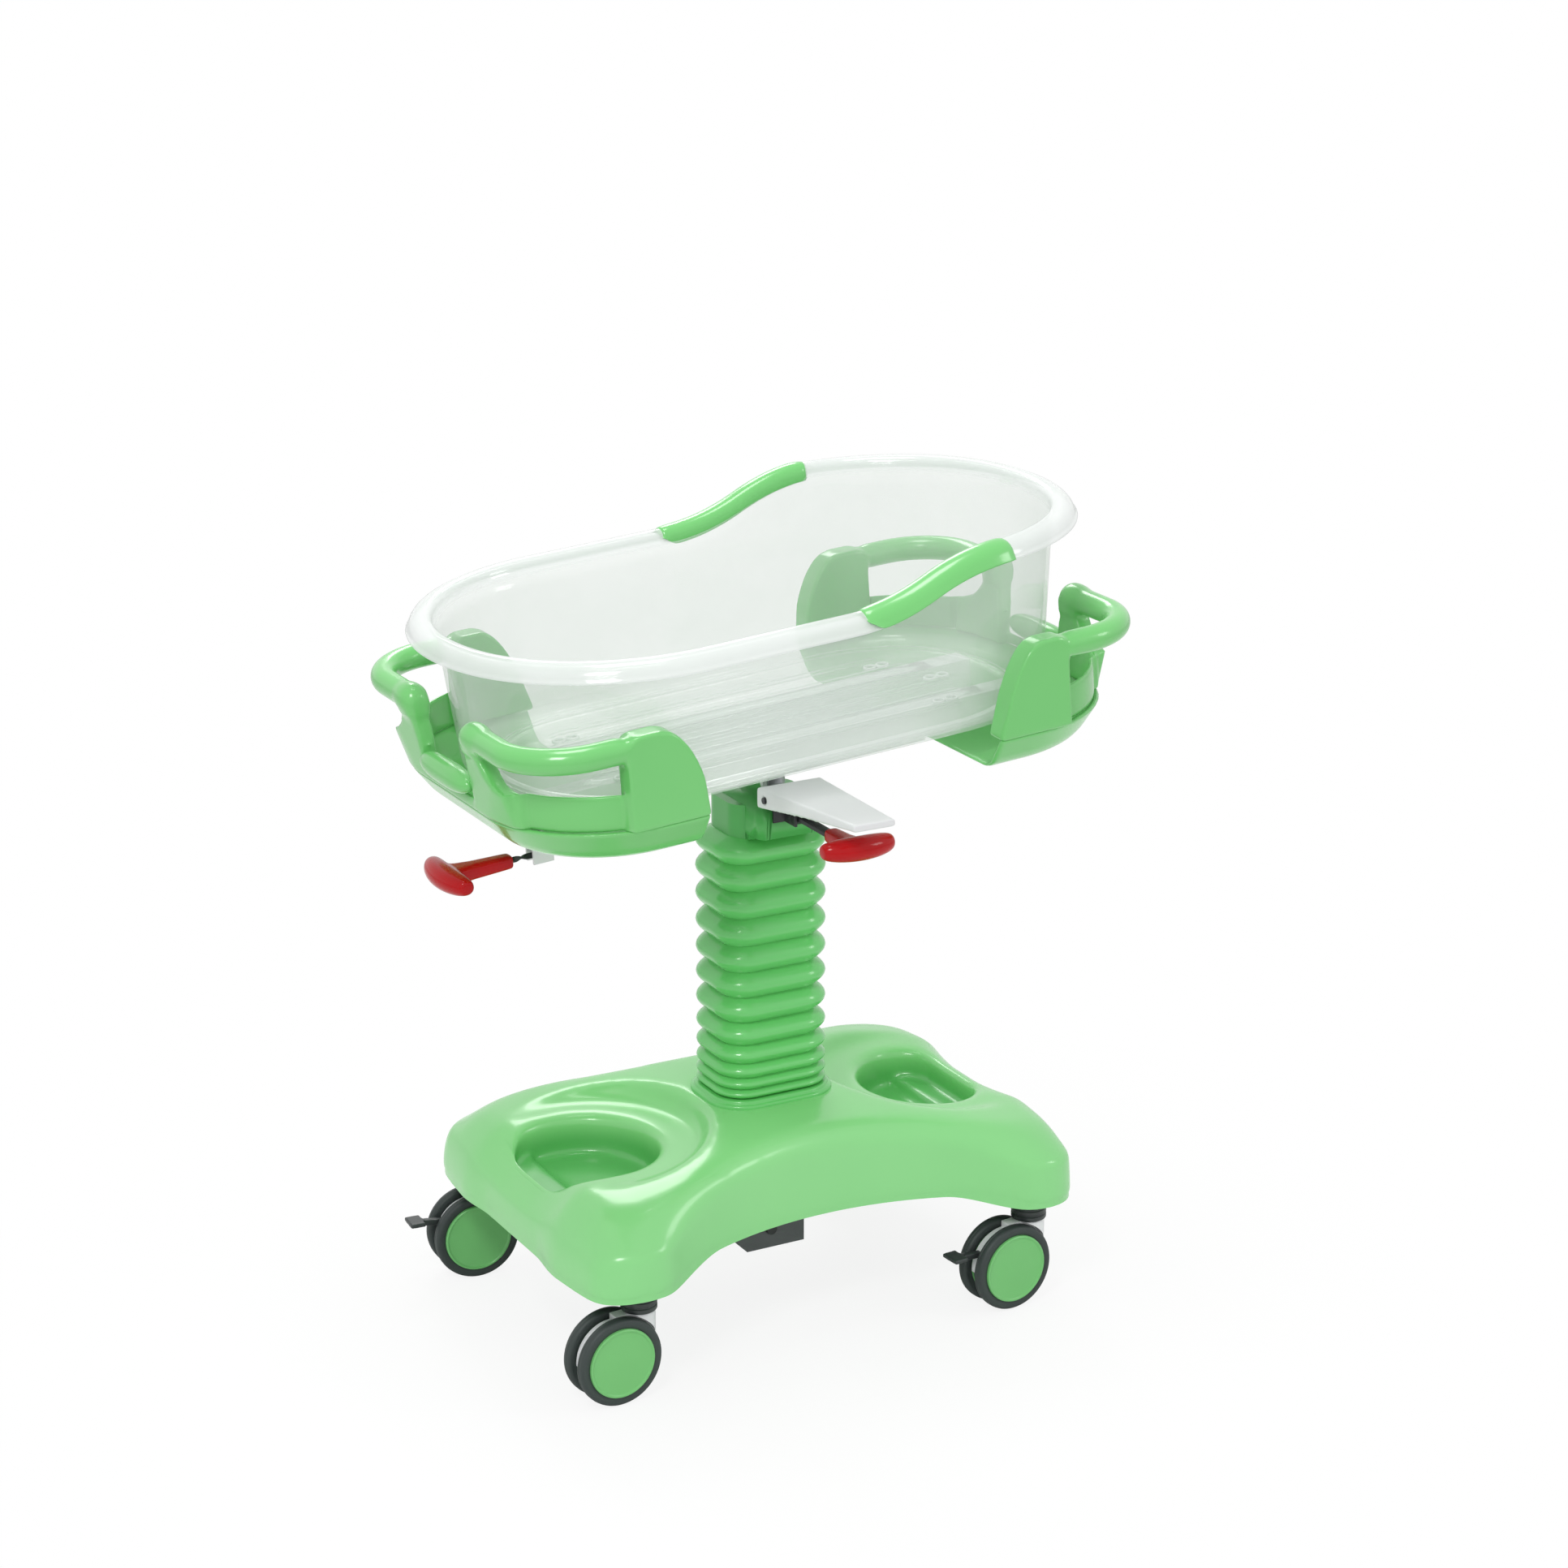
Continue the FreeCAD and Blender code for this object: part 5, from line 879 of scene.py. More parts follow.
@dataclass
class Castor:
    """A twin-wheel castor with moulded tyres, lipped discs, a pressed hood and a ribbed collar.

    Attributes:
        tag: its corner, fl, fr, bl or br.
        x: its stem along the crib in millimetres.
        y: its stem across the crib.
        yaw: its turn in degrees about the stem.
        trail: the axle behind the stem.
        radius: the wheel's radius.
    """

    tag: str
    x: float
    y: float
    yaw: float
    trail: float = 33
    radius: float = 50

    TYRE: ClassVar[tuple[Point, ...]] = (
        (39.6, 8.6), (44.0, 8.1), (46.6, 8.0), (48.6, 8.9), (49.7, 10.6), (50, 12.6), (49.5, 13.2),
        (49.5, 13.8), (50, 14.4), (50, 16.6), (49.6, 18.9), (48.4, 20.7), (46.4, 21.5), (44.2, 21.4),
        (41.2, 20.9), (39.6, 20.2),
    )
    DISC: ClassVar[tuple[Point, ...]] = (
        (4.1, 8.3), (12, 8.3), (13, 10), (36, 10), (37.5, 8.8), (39.5, 8.8), (39.55, 21.4), (39.3, 22.7),
        (38.4, 23.4), (37.2, 23.3), (36.2, 22.2), (34.8, 21.8), (20, 22.1), (0, 22.3), (0, 20.8), (4.1, 20.8),
    )
    BAND: ClassVar[tuple[Point, ...]] = (
        (30, -6.8), (40.5, -6.8), (41.7, -5.6), (41.7, 5.6), (40.5, 6.8), (30, 6.8),
    )
    COLLAR: ClassVar[tuple[Point, ...]] = (
        (98.5, 17.5), (99.2, 19.4), (100.2, 20), (104, 20), (105, 19), (106, 19), (107, 20), (111, 20),
        (112, 19.2), (113, 19.2), (114, 20), (118.8, 20), (120, 19.4), (120.4, 18),
    )
    STEM: ClassVar[tuple[Point, ...]] = ((121, 5.5), (155, 5.5))
    NECK: ClassVar[tuple[Point, ...]] = (
        (66, 13), (68, 15.5), (72, 17.2), (80, 18), (96, 18), (98, 17.4), (98.5, 16.4),
    )

    def build(self) -> None:
        """Build the wheels, the hood and the stem."""
        castor = f"castor_{self.tag}"
        swivel = f"{castor}_swivel"
        turn = Matrix.Rotation(math.radians(self.yaw), 4, "Z")
        place = Matrix.Translation(Vector((self.x, self.y, 0)) * MM) @ turn
        axle = Vector((-self.trail, 0, self.radius)) * MM
        for name, outline, finish in (("tyres", self.TYRE, Finish.TYRE), ("discs", self.DISC, Finish.DISC)):
            bm = bmesh.new()
            revolve(bm, outline, axle)
            revolve(bm, [(radius, -along) for radius, along in outline], axle)
            close_up(bm)
            transform(bm, place)
            node = f"{castor}_{name}"
            make_piece(f"{node}_detailed", bm, finish, f"{castor}_wheels", [node], CRISP)
        hood = copy_of(f"{castor}_hood")
        bevelled(hood, 1.0)
        for part in (self.hood_band(axle), self.hood_neck(axle)):
            transform(part, place)
            join(hood, part)
        make_piece(f"{castor}_hood_pressed", hood, Finish.SILVER, swivel, [f"{castor}_hood"], CRISP)
        collar = bmesh.new()
        skin(collar, [at_level(circle(radius, 64), z) for z, radius in (*self.COLLAR, *self.STEM)])
        close_up(collar)
        transform(collar, place)
        make_piece(f"{castor}_collar", collar, Finish.BLACK, swivel, [f"{castor}_stem"], CRISP)

    def hood_band(self, axle: Vector) -> bmesh.types.BMesh:
        """The upper half of the band between the wheels."""
        bm, lower = bmesh.new(), bmesh.new()
        revolve(bm, self.BAND, axle)
        close_up(bm)
        middle = Matrix.Translation(Vector((-self.trail, 0, -8)) * MM)
        size = Matrix.Diagonal((200 * MM, 200 * MM, 110 * MM, 1))
        bmesh.ops.create_cube(lower, size=1, matrix=middle @ size)
        carve(bm, lower)
        return bm

    def hood_neck(self, axle: Vector) -> bmesh.types.BMesh:
        """The round neck under the collar, cut away round the wheels."""
        bm, room = bmesh.new(), bmesh.new()
        skin(bm, [at_level(circle(radius, 48), z) for z, radius in self.NECK])
        close_up(bm)
        across = Matrix.Translation(axle) @ Matrix.Rotation(math.pi / 2, 4, "X")
        cylinder(room, self.radius + 2, 60, across, 96)
        carve(bm, room)
        return bm

    def build_pedal(self) -> None:
        """The brake pedal, if this castor has one."""
        node = f"brake_pedal_{self.tag}"
        bm = copy_of(node)
        one_skin(bm, *PEDAL_SKIN)
        make_piece(f"{node}_moulded", bm, Finish.BLACK, f"pedal_{self.tag}", [node])


# Column

@dataclass
class Bellows:
    """The ribbed sleeve and its lipped collar.

    Attributes:
        half_x: half the length over the ribs in millimetres.
        half_y: half the width over the ribs.
        corner: the corner radius over the ribs.
        depth: how deep the valleys are.
        low: the foot of the sleeve.
        high: the top of the sleeve.
        bore: how far inside the crests the bore lies.
        lip: how much wider the sleeve's top is than its last valley.
        top_band: how far below the top the last valley deepens.
        collar_bore: how far inside the crests the collar's bore lies.
        pitches: each rib's height against the others', from the foot.
    """

    half_x: float = 69
    half_y: float = 53
    corner: float = 37
    depth: float = 12.6
    low: float = 250
    high: float = 554
    bore: float = 14
    lip: float = 1.4
    top_band: float = 18
    collar_bore: float = 14.5
    pitches: tuple[float, ...] = (0.36, 0.43, 0.55, 0.7, 0.87, 0.97, 0.98, 1.02, 1.05, 1.05, 1.03, 1.0)

    STATIONS: ClassVar[int] = 12
    COLLAR: ClassVar[tuple[Point, ...]] = (
        (240.2, -6.8), (243.6, -6.8), (245.2, -6.2), (245.9, -4.9), (246.2, -3.2), (247, -2.6), (248.4, -2.4),
        (249.5, -1.6), (249.9, 0.2), (249.9, 4), (249.9, 14.5),
    )

    def build(self) -> None:
        """Build the sleeve and the collar."""
        bm = bmesh.new()
        scale = (self.high - self.low) / sum(self.pitches)
        level, rings = self.low, [self.ring(self.bore, self.low)]
        for pitch in self.pitches:
            for step in range(self.STATIONS):
                share = (1 - math.cos(math.pi * step / self.STATIONS)) / 2
                height = level + pitch * scale * share
                rings.append(self.ring(self.valley(height) * (1 - math.sin(math.pi * share)), height))
            level += pitch * scale
        last = self.valley(self.high)
        rings += [self.ring(last, self.high), self.ring(last + self.lip, self.high),
                  self.ring(self.bore, self.high - self.top_band)]
        skin(bm, [*rings, rings[0]], capped=False)
        close_up(bm)
        sleeve = make_piece("bellows_sleeve", bm, Finish.BELLOWS, "base", ["bellows"], sharp=80)
        sleeve.parent = None
        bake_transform(sleeve)
        collar = bmesh.new()
        rings = [self.ring(inset, z) for z, inset in self.COLLAR]
        skin(collar, [*rings, self.ring(self.collar_bore, self.COLLAR[0][0]), rings[0]], capped=False)
        close_up(collar)
        make_piece("bellows_collar_lipped", collar, Finish.BELLOWS, "base", ["bellows_collar"], sharp=60)

    def valley(self, z: float) -> float:
        """How deep a valley is at a height: shallow between the tight ribs, deepest under the head block."""
        tight = 0.5 + 0.5 * ramp(z, self.low, self.low + 90)
        return self.depth * tight + 6 * ramp(z, self.high - self.top_band, self.high)

    def ring(self, inset: float, z: float) -> Ring:
        """A ring of the sleeve, inside its crests by an inset."""
        return at_level(rounded_box(self.half_x - inset, self.half_y - inset, self.corner - inset), z)


@dataclass
class ColumnHead:
    """The head block on the column, which grows out of the bellows through a broad neck.

    Attributes:
        flange_top: the height below which the flange is drawn in to the block's sides.
        block: the block's half length and its two sides across the crib.
        neck: the neck's half length, half width and corner radius.
        neck_levels: the neck's foot and top.
    """

    flange_top: float = 561
    block: tuple[float, float, float] = (38, -70, 32)
    neck: tuple[float, float, float] = (50, 38, 22)
    neck_levels: Point = (546, 591.5)

    def build(self) -> None:
        """Build the head."""
        bm = copy_of("column_head")
        half, front, back = (size * MM for size in self.block)
        for vert in bm.verts:
            if vert.co.z < self.flange_top * MM:
                vert.co.x = min(max(vert.co.x, -half), half)
                vert.co.y = min(max(vert.co.y, front), back)
        skin(bm, [at_level(rounded_box(*self.neck), z) for z in self.neck_levels])
        make_piece("column_head_moulded", bm, Finish.HEAD, "lift", ["column_head"])


# Levers

@dataclass
class THandle:
    """A red T-handle: a flat neck that flows into a bowed bar with tapered ends.

    Attributes:
        name: the piece's name.
        node: the CAD node it stands for.
        body: the body it rides on.
        neck_start: the thin end of its neck from the middle axis, in millimetres.
        bar: the bar's middle from the middle axis.
        place: the move from its own frame to the row frame.
        half: half the length of its bar.
        shift: how far the bar lies off the neck's axis.
    """

    name: str
    node: str
    body: str
    neck_start: float
    bar: float
    place: Matrix
    half: float = 48
    shift: float = 0

    NECK: ClassVar[tuple[tuple[float, float, float], ...]] = (
        (0, 7, 6), (0.03, 8.6, 7.6), (0.3, 9.4, 8.2), (0.6, 10.4, 8.8), (0.8, 13, 9.4), (0.95, 19, 10),
        (1, 22, 9),
    )
    BAR_STEPS: ClassVar[int] = 24

    def build(self) -> None:
        """Build the handle."""
        bm = bmesh.new()
        self.add_bar(bm)
        self.add_neck(bm)
        close_up(bm)
        one_skin(bm, *FINE_SKIN)
        transform(bm, self.place)
        make_piece(self.name, bm, Finish.RED, self.body, [self.node])

    def add_bar(self, bm: bmesh.types.BMesh) -> None:
        """The bowed bar, thick in its middle and thin at its ends."""
        rings = []
        for step in range(self.BAR_STEPS + 1):
            along = -1 + 2 * step / self.BAR_STEPS
            y = self.half * math.sin(along * math.pi / 2)
            bulge = math.sqrt(max(1 - (y / self.half) ** 2, 0.012))
            deep, tall = 6 + 8.5 * bulge, 4.5 + 8.5 * bulge ** 0.7
            if step in (0, self.BAR_STEPS):
                deep, tall = 3, 2
            middle = self.bar + 1 - 6 * (y / self.half) ** 2
            plan = rounded_box(deep, tall, 0.98 * min(deep, tall), (6, 2, 2))
            rings.append([Vector((middle + a, y + self.shift, b)) * MM for a, b in plan])
        skin(bm, rings)

    def add_neck(self, bm: bmesh.types.BMesh) -> None:
        """The flat neck that widens into the bar."""
        rings = []
        length = self.bar - self.neck_start
        for share, wide, tall in self.NECK:
            x = self.neck_start + length * share
            plan = rounded_box(wide, tall, 0.6 * min(wide, tall), (6, 2, 2))
            rings.append([Vector((x, a, b)) * MM for a, b in plan])
        skin(bm, rings)


@dataclass
class Levers:
    """The paddle, its bracket, the two T-handles and the twisted rod.

    Attributes:
        height_level: the front lever's height in millimetres.
        tilt_level: the tilt lever's height with the cradle level.
        rod_start: the tilt rod's pivot from the middle.
        rod_end: where the tilt rod ends inside its handle.
        rod_turns: how many half turns the rod is twisted by.
        paddle_root: the paddle's root from the middle, and its top there.
        paddle_reach: the paddle's length and its rise.
        paddle_drop: how much deeper the paddle's root is than in the CAD.
    """

    height_level: float = 588
    tilt_level: float = 584
    rod_start: float = 272
    rod_end: float = 322
    rod_turns: float = 1.5
    paddle_root: Point = (76.5, 615.5)
    paddle_reach: Point = (186.5, 13.5)
    paddle_drop: float = 4.5

    ROD_STEPS: ClassVar[int] = 48
    ROD_SECTION: ClassVar[list[Point]] = rounded_box(3.3, 1.3, 1.1, (4, 3, 2))
    EYE: ClassVar[tuple[Point, ...]] = (
        (3.06, -3), (3.06, 3), (6.8, 3), (7.4, 2.2), (7.4, -2.2), (6.8, -3),
    )

    def build(self) -> None:
        """Build each lever."""
        paddle = copy_of("release_paddle")
        (root, top), (length, rise) = self.paddle_root, self.paddle_reach
        for vert in paddle.verts:
            along = (-vert.co.y / MM - root) / length
            below = top + rise * along - vert.co.z / MM
            vert.co.z -= self.paddle_drop * (1 - along) * ramp(below, 6.5, 9) * MM
        one_skin(paddle, *FINE_SKIN)
        make_piece("release_paddle_moulded", paddle, Finish.WHITE, "paddle", ["release_paddle"])
        for node, finish, body in (("lever_bracket", Finish.BLACK_PAINT, "lift"),
                                   ("height_handle_stem", Finish.BLACK_PAINT, "height_lever"),
                                   ("tilt_lever_bracket", Finish.WHITE, "cradle")):
            make_formed(f"{node}_formed", node, finish, body, 0.5, CRISP)
        height_turn, tilt_turn = (Matrix.Rotation(angle, 4, "Z") for angle in (-math.pi / 2, math.pi))
        height_place = Matrix.Translation(Vector((0, 0, self.height_level)) * MM) @ height_turn
        THandle("height_handle_moulded", "height_handle", "height_lever", 158, 212, height_place,
                half=43, shift=5).build()
        tilt_place = level_to_row() @ Matrix.Translation(Vector((0, 0, self.tilt_level)) * MM) @ tilt_turn
        THandle("tilt_handle_moulded", "tilt_handle", "tilt_lever", 306, 383, tilt_place).build()
        self.build_rod(tilt_place)

    def build_rod(self, place: Matrix) -> None:
        """The flat rod, twisted between its eye and the handle."""
        bm = bmesh.new()
        rings = []
        for step in range(self.ROD_STEPS + 1):
            share = step / self.ROD_STEPS
            x = self.rod_start + 5 + (self.rod_end - self.rod_start - 5) * share
            turn = Matrix.Rotation(self.rod_turns * math.pi * ramp(share, 0.05, 0.8), 3, "X")
            rings.append([(Vector((x, 0, 0)) + turn @ Vector((0, b, a))) * MM for a, b in self.ROD_SECTION])
        skin(bm, rings)
        revolve(bm, self.EYE, Vector((self.rod_start, 0, 0)) * MM, 40)
        close_up(bm)
        transform(bm, place)
        make_piece("tilt_rod_twisted", bm, Finish.BLACK_PAINT, "tilt_lever", ["tilt_handle_rod"], CRISP)


# Cradle

@dataclass
class EndHolders:
    """The trays, rail frames and rolls at both ends, each one moulding with soft edges.

    Attributes:
        cell: the size of the skin's squares in millimetres.
        passes: how often the edges are softened.
        last_passes: how often the rail frame is softened in the end.
        ear_x: the outer side of an ear, along the crib.
        ear_y: a place across the crib that all of an ear lies beyond.
        post_y: the side of a post's foot.
        recess: how deep the band lies between an ear and a post.
        band_top: the height below which the recess is full.
        roll_x: the middle of a roll.
        roll_z: its height.
        roll_half: half its length.
        roll_radius: its radius in the middle.
        split: the height above which the ears are shaped.
        ear_inner: the ear's edge beside the basin's middle.
        ear_top: the ear's top.
        shoulder: the radius of its shoulder.
        lean: how far its edge leans toward the handle, on the head end's front and back side.
        knee: where a handle turns down into its post.
    """

    cell: float = 2.0
    passes: int = 9
    last_passes: int = 3
    ear_x: float = 264.5
    ear_y: float = 150
    post_y: float = 140
    recess: float = 6.5
    band_top: float = 728
    roll_x: float = 369
    roll_z: float = 699
    roll_half: float = 59.6
    roll_radius: float = 14
    split: float = 676
    ear_inner: float = 174.5
    ear_top: float = 774
    shoulder: float = 50
    lean: Point = (19, 6)
    knee: tuple[float, float, float] = (367, 80, 759.5)

    ROLL_STEPS: ClassVar[int] = 32

    def build(self) -> None:
        """Build the head end and turn it round to the foot end."""
        tray, rails = copy_of("head_tray"), copy_of("head_rail_frame")
        for bm in (tray, rails):
            transform(bm, level_to_row().inverted())
            one_skin(bm, self.cell, self.passes)
        self.press_recess(rails)
        self.round_shoulder(rails)
        self.swell_handles(rails)
        soften(rails, self.last_passes)
        for name, bm in (("tray", tray), ("rail_frame", rails), ("end_roll", self.roll())):
            other = bm.copy()
            transform(other, Matrix.Rotation(math.pi, 4, "Z"))
            for end, mesh in (("head", bm), ("foot", other)):
                transform(mesh, level_to_row())
                make_piece(f"{end}_{name}_moulded", mesh, Finish.HOLDER, "cradle", [f"{end}_{name}"])

    def press_recess(self, bm: bmesh.types.BMesh) -> None:
        """Press the band inward between an ear and a post."""
        for vert in bm.verts:
            x, y, z = vert.co / MM
            share = ramp(x, self.ear_x + 1, self.ear_x + 7) * ramp(abs(y), self.post_y + 4, self.post_y + 12)
            share *= 1 - ramp(z, self.band_top, self.band_top + 12)
            if share:
                inward = Vector((-(x - 221), -(y - math.copysign(85, y)), 0)).normalized()
                vert.co += inward * self.recess * share * MM

    def round_shoulder(self, bm: bmesh.types.BMesh) -> None:
        """Bring the ear's top corner down to a large round shoulder and lean its edge toward the handle."""
        radius = self.shoulder
        for vert in bm.verts:
            x, y, z = vert.co / MM
            if x >= self.ear_x or abs(y) <= self.ear_y or z <= self.split:
                continue
            rise = (z - self.split) / (self.ear_top - self.split)
            depth = min(max(self.ear_inner + radius - x, 0), radius)
            vert.co.z -= (radius - math.sqrt(radius ** 2 - depth ** 2)) * rise * MM
            vert.co.x += self.lean[y > 0] * rise * (self.ear_x - x) / (self.ear_x - self.ear_inner) * MM

    def swell_handles(self, bm: bmesh.types.BMesh) -> None:
        """Make good the thickness lost in softening, round the knees and seat the frame on its tray."""
        bm.normal_update()
        knee_x, knee_y, knee_z = self.knee
        for vert in bm.verts:
            x, y, z = vert.co / MM
            to_knee = math.sqrt((x - knee_x) ** 2 + (abs(y) - knee_y) ** 2 + (z - knee_z) ** 2)
            swell = 1.5 * ramp(z, 738, 746) * ramp(x, 262, 274) + 2.5 * (1 - ramp(to_knee, 12, 30))
            vert.co += vert.normal * swell * MM
            vert.co.z -= 1.5 * (1 - ramp(z, self.split - 3, self.split + 6)) * MM

    def roll(self) -> bmesh.types.BMesh:
        """The spindle-shaped roll between the posts of the head end."""
        bm = bmesh.new()
        rings = []
        for step in range(self.ROLL_STEPS + 1):
            along = math.sin(math.pi / 2 * (-1 + 2 * step / self.ROLL_STEPS))
            radius = self.roll_radius * max(1 - abs(along) ** 3.2, 0) ** 0.5
            y = self.roll_half * along
            plan = circle(max(radius, 0.01), 40)
            rings.append([Vector((self.roll_x + a, y, self.roll_z + b)) * MM for a, b in plan])
        skin(bm, rings)
        close_up(bm)
        return bm


@dataclass
class Tub:
    """The clear basin: a thin wall, a rolled rim that climbs to the head end, floor ribs and vents.

    Attributes:
        bottom: its underside in millimetres.
        wall: its wall.
        foot: half length and half width at the bottom.
        mouth: half length and half width at the mouth's height.
        mouth_z: the height of those sizes.
        rim_low: the rim's top at the foot end.
        rim_high: the rim's top at the head end.
        slope: where the rim's slope starts and ends.
        corner: the outer radius round the bottom.
        ribs: the ribs' count, pitch, half width, height and half length.
        vents: the outermost vents from the middle, the pitch of their rows, how much nearer to the middle the
            side rows lie, the step in a row and the vents' radius.
        ridge: the ridge round the floor: its distance inside the wall, its width and its height.
    """

    bottom: float = 671
    wall: float = 4
    foot: Point = (333, 183)
    mouth: Point = (353, 206)
    mouth_z: float = 885
    rim_low: float = 846
    rim_high: float = 889
    slope: Point = (6, 200)
    corner: float = 14
    ribs: tuple[int, float, float, float, float] = (6, 38, 9, 5, 235)
    vents: tuple[float, float, float, float, float] = (238, 76, 34, 16, 5)
    ridge: tuple[float, float, float] = (34, 4.5, 3.4)

    RIM: ClassVar[tuple[Point, ...]] = (
        (-3.9, -13), (-3.4, -8), (-2.2, -4.2), (0.2, -1.4), (3.4, -0.2), (7, 0), (11, -0.7), (15, -2.6),
        (18.4, -5.4), (21, -9), (22.6, -12.6), (23.4, -15), (24.6, -16.4), (25.4, -17.6), (25.2, -19),
        (23.6, -19.4), (21.8, -18.4), (20.4, -15.4), (18.6, -12), (16, -9), (13, -6.6), (9.4, -5), (6, -4.6),
        (3.2, -5.6), (1, -8.4), (0.1, -13),
    )
    LIP: ClassVar[tuple[Point, ...]] = ((0.1, 3.6), (0.1, 5.6), (0.8, 6.4), (2, 6.4), (2.9, 5.6), (3.1, 3.6))
    VENT_SIDES: ClassVar[int] = 28
    WALL_STEPS: ClassVar[int] = 13
    FLOOR_STEPS: ClassVar[int] = 44
    BEND_STEPS: ClassVar[int] = 6

    def rim_line(self, x: float) -> float:
        """The height of the rim's top along the crib."""
        low_x, high_x = self.slope
        share = min(max((x - low_x) / (high_x - low_x), 0), 1)
        rise = self.rim_high - self.rim_low
        half = 0.5 * rise * (2 * share) ** 2 if share < 0.5 else rise - 0.5 * rise * (2 - 2 * share) ** 2
        return self.rim_low + half

    def half_sizes(self, z: float, inset: float) -> Point:
        """Half length and half width of the wall at a height, moved in by an inset."""
        share = (z - self.bottom) / (self.mouth_z - self.bottom)
        return tuple(low + (high - low) * share - inset for low, high in zip(self.foot, self.mouth))

    def floor_ring(self, inset: float, z: float) -> Ring:
        """A ring of the floor that carries the ribs."""
        count, pitch, half, height, reach = self.ribs
        half_x, half_y = self.half_sizes(z, inset)
        ring = []
        away, width, tall = self.ridge
        ridge = tall * math.exp(-((inset - away) / width) ** 2)
        for x, y in oval(half_x, max(half_y, 0)):
            middle = (count - 1) / 2
            nearest = (min(max(round(y / pitch + middle), 0), count - 1) - middle) * pitch
            side = min(abs(y - nearest) / half, 1)
            last = reach - 30 * (abs(y) / 95) ** 2
            end = 1 - ramp(abs(x), last - 8, last + 14 * (1 - side))
            ring.append(Vector((x, y, z + max(height * end * (1 - side * side) ** 2, ridge))) * MM)
        return ring

    def wall_ring(self, share: float, inset: float, low: float) -> Ring:
        """A ring of the wall, at a share of the way from a level to under the rim."""
        narrow, wide = (oval(*self.half_sizes(z, inset)) for z in (self.bottom, self.mouth_z))
        ring = []
        for (x, y), (wide_x, wide_y) in zip(narrow, wide):
            z = low + (self.rim_line(x) - 18 - low) * share
            lean = (z - self.bottom) / (self.mouth_z - self.bottom)
            ring.append(Vector((x + (wide_x - x) * lean, y + (wide_y - y) * lean, z)) * MM)
        return ring

    def rim_ring(self, outward: float, drop: float) -> Ring:
        """A ring of the rim, from its distance outside the wall and its height against the rim's top."""
        half_x, half_y = self.half_sizes(self.rim_high, -outward)
        return [Vector((x, y, self.rim_line(x) + drop)) * MM for x, y in oval(half_x, half_y)]

    def rings(self) -> list[Ring]:
        """Every ring, from the middle of the inner floor over the rim to the middle of the outer floor."""
        inner_z, inner_corner = self.bottom + self.wall, self.corner - self.wall
        inner = self.side(inner_z, self.wall, inner_corner)
        outer = self.side(self.bottom, 0, self.corner)
        return [*inner, *(self.rim_ring(*station) for station in self.RIM), *reversed(outer)]

    def side(self, floor: float, inset: float, corner: float) -> list[Ring]:
        """One side of the sheet from the middle of its floor to under the rim."""
        rings = []
        deepest = self.half_sizes(floor, 0)[1]
        steps = self.FLOOR_STEPS
        for step in range(steps):
            rings.append(self.floor_ring(deepest - (deepest - inset - corner) * step / steps, floor))
        for step in range(self.BEND_STEPS):
            angle = math.pi / 2 * step / self.BEND_STEPS
            z = floor + corner * (1 - math.cos(angle))
            rings.append(at_level(oval(*self.half_sizes(z, inset + corner * (1 - math.sin(angle)))), z))
        for step in range(self.WALL_STEPS):
            rings.append(self.wall_ring(step / (self.WALL_STEPS - 1), inset, floor + corner))
        return rings

    def vent_places(self) -> list[Vector]:
        """The middles of the vents on the tub's underside."""
        outermost, pitch, set_back, step, _ = self.vents
        places = [(side * (outermost - set_back * abs(row) - step * back), pitch * row)
                  for side in (-1, 1) for row in (-1, 0, 1) for back in (0, 1)]
        return at_level(places, self.bottom)

    def map_regions(self, bm: bmesh.types.BMesh, grown: list[list[bmesh.types.BMVert]]) -> None:
        """Write a UV map whose second value is 0 in the floor, 0.5 in the wall and 1 in rim and ridge."""
        layer = bm.loops.layers.uv.new("region")
        side = (len(grown) - len(self.RIM)) // 2
        for number, ring in enumerate(grown):
            depth = min(number, len(grown) - 1 - number)
            inset = self.foot[1] - (self.foot[1] - self.wall - self.corner) * depth / self.FLOOR_STEPS
            on_ridge = abs(inset - self.ridge[0]) < self.ridge[1]
            region = 1.0 if depth >= side or on_ridge else 0.5 if depth >= side - self.WALL_STEPS else 0.0
            for index, vert in enumerate(ring):
                for loop in vert.link_loops:
                    loop[layer].uv = (index / len(ring), region)

    def build(self) -> None:
        """Build the tub and cut its vents."""
        bm = bmesh.new()
        grown = skin(bm, self.rings(), capped=False)
        self.map_regions(bm, grown)
        close_up(bm)
        holes, lips = bmesh.new(), bmesh.new()
        radius, sides = self.vents[-1], self.VENT_SIDES
        lip = [at_level(circle(radius + out, sides), z) for out, z in (*self.LIP, self.LIP[0])]
        for place in self.vent_places():
            cylinder(holes, radius, 30, Matrix.Translation(place), sides)
            skin(lips, [[place + point for point in ring] for ring in lip], capped=False)
        carve(bm, holes)
        close_up(lips)
        # The lips' region gives them the whiter veil, which is partly painted highlight.
        write_region(lips, lambda _: 2.0)
        join(bm, lips)
        transform(bm, level_to_row())
        make_piece("clear_tub_rolled", bm, Finish.CLEAR, "basin", ["tub"], sharp=60)


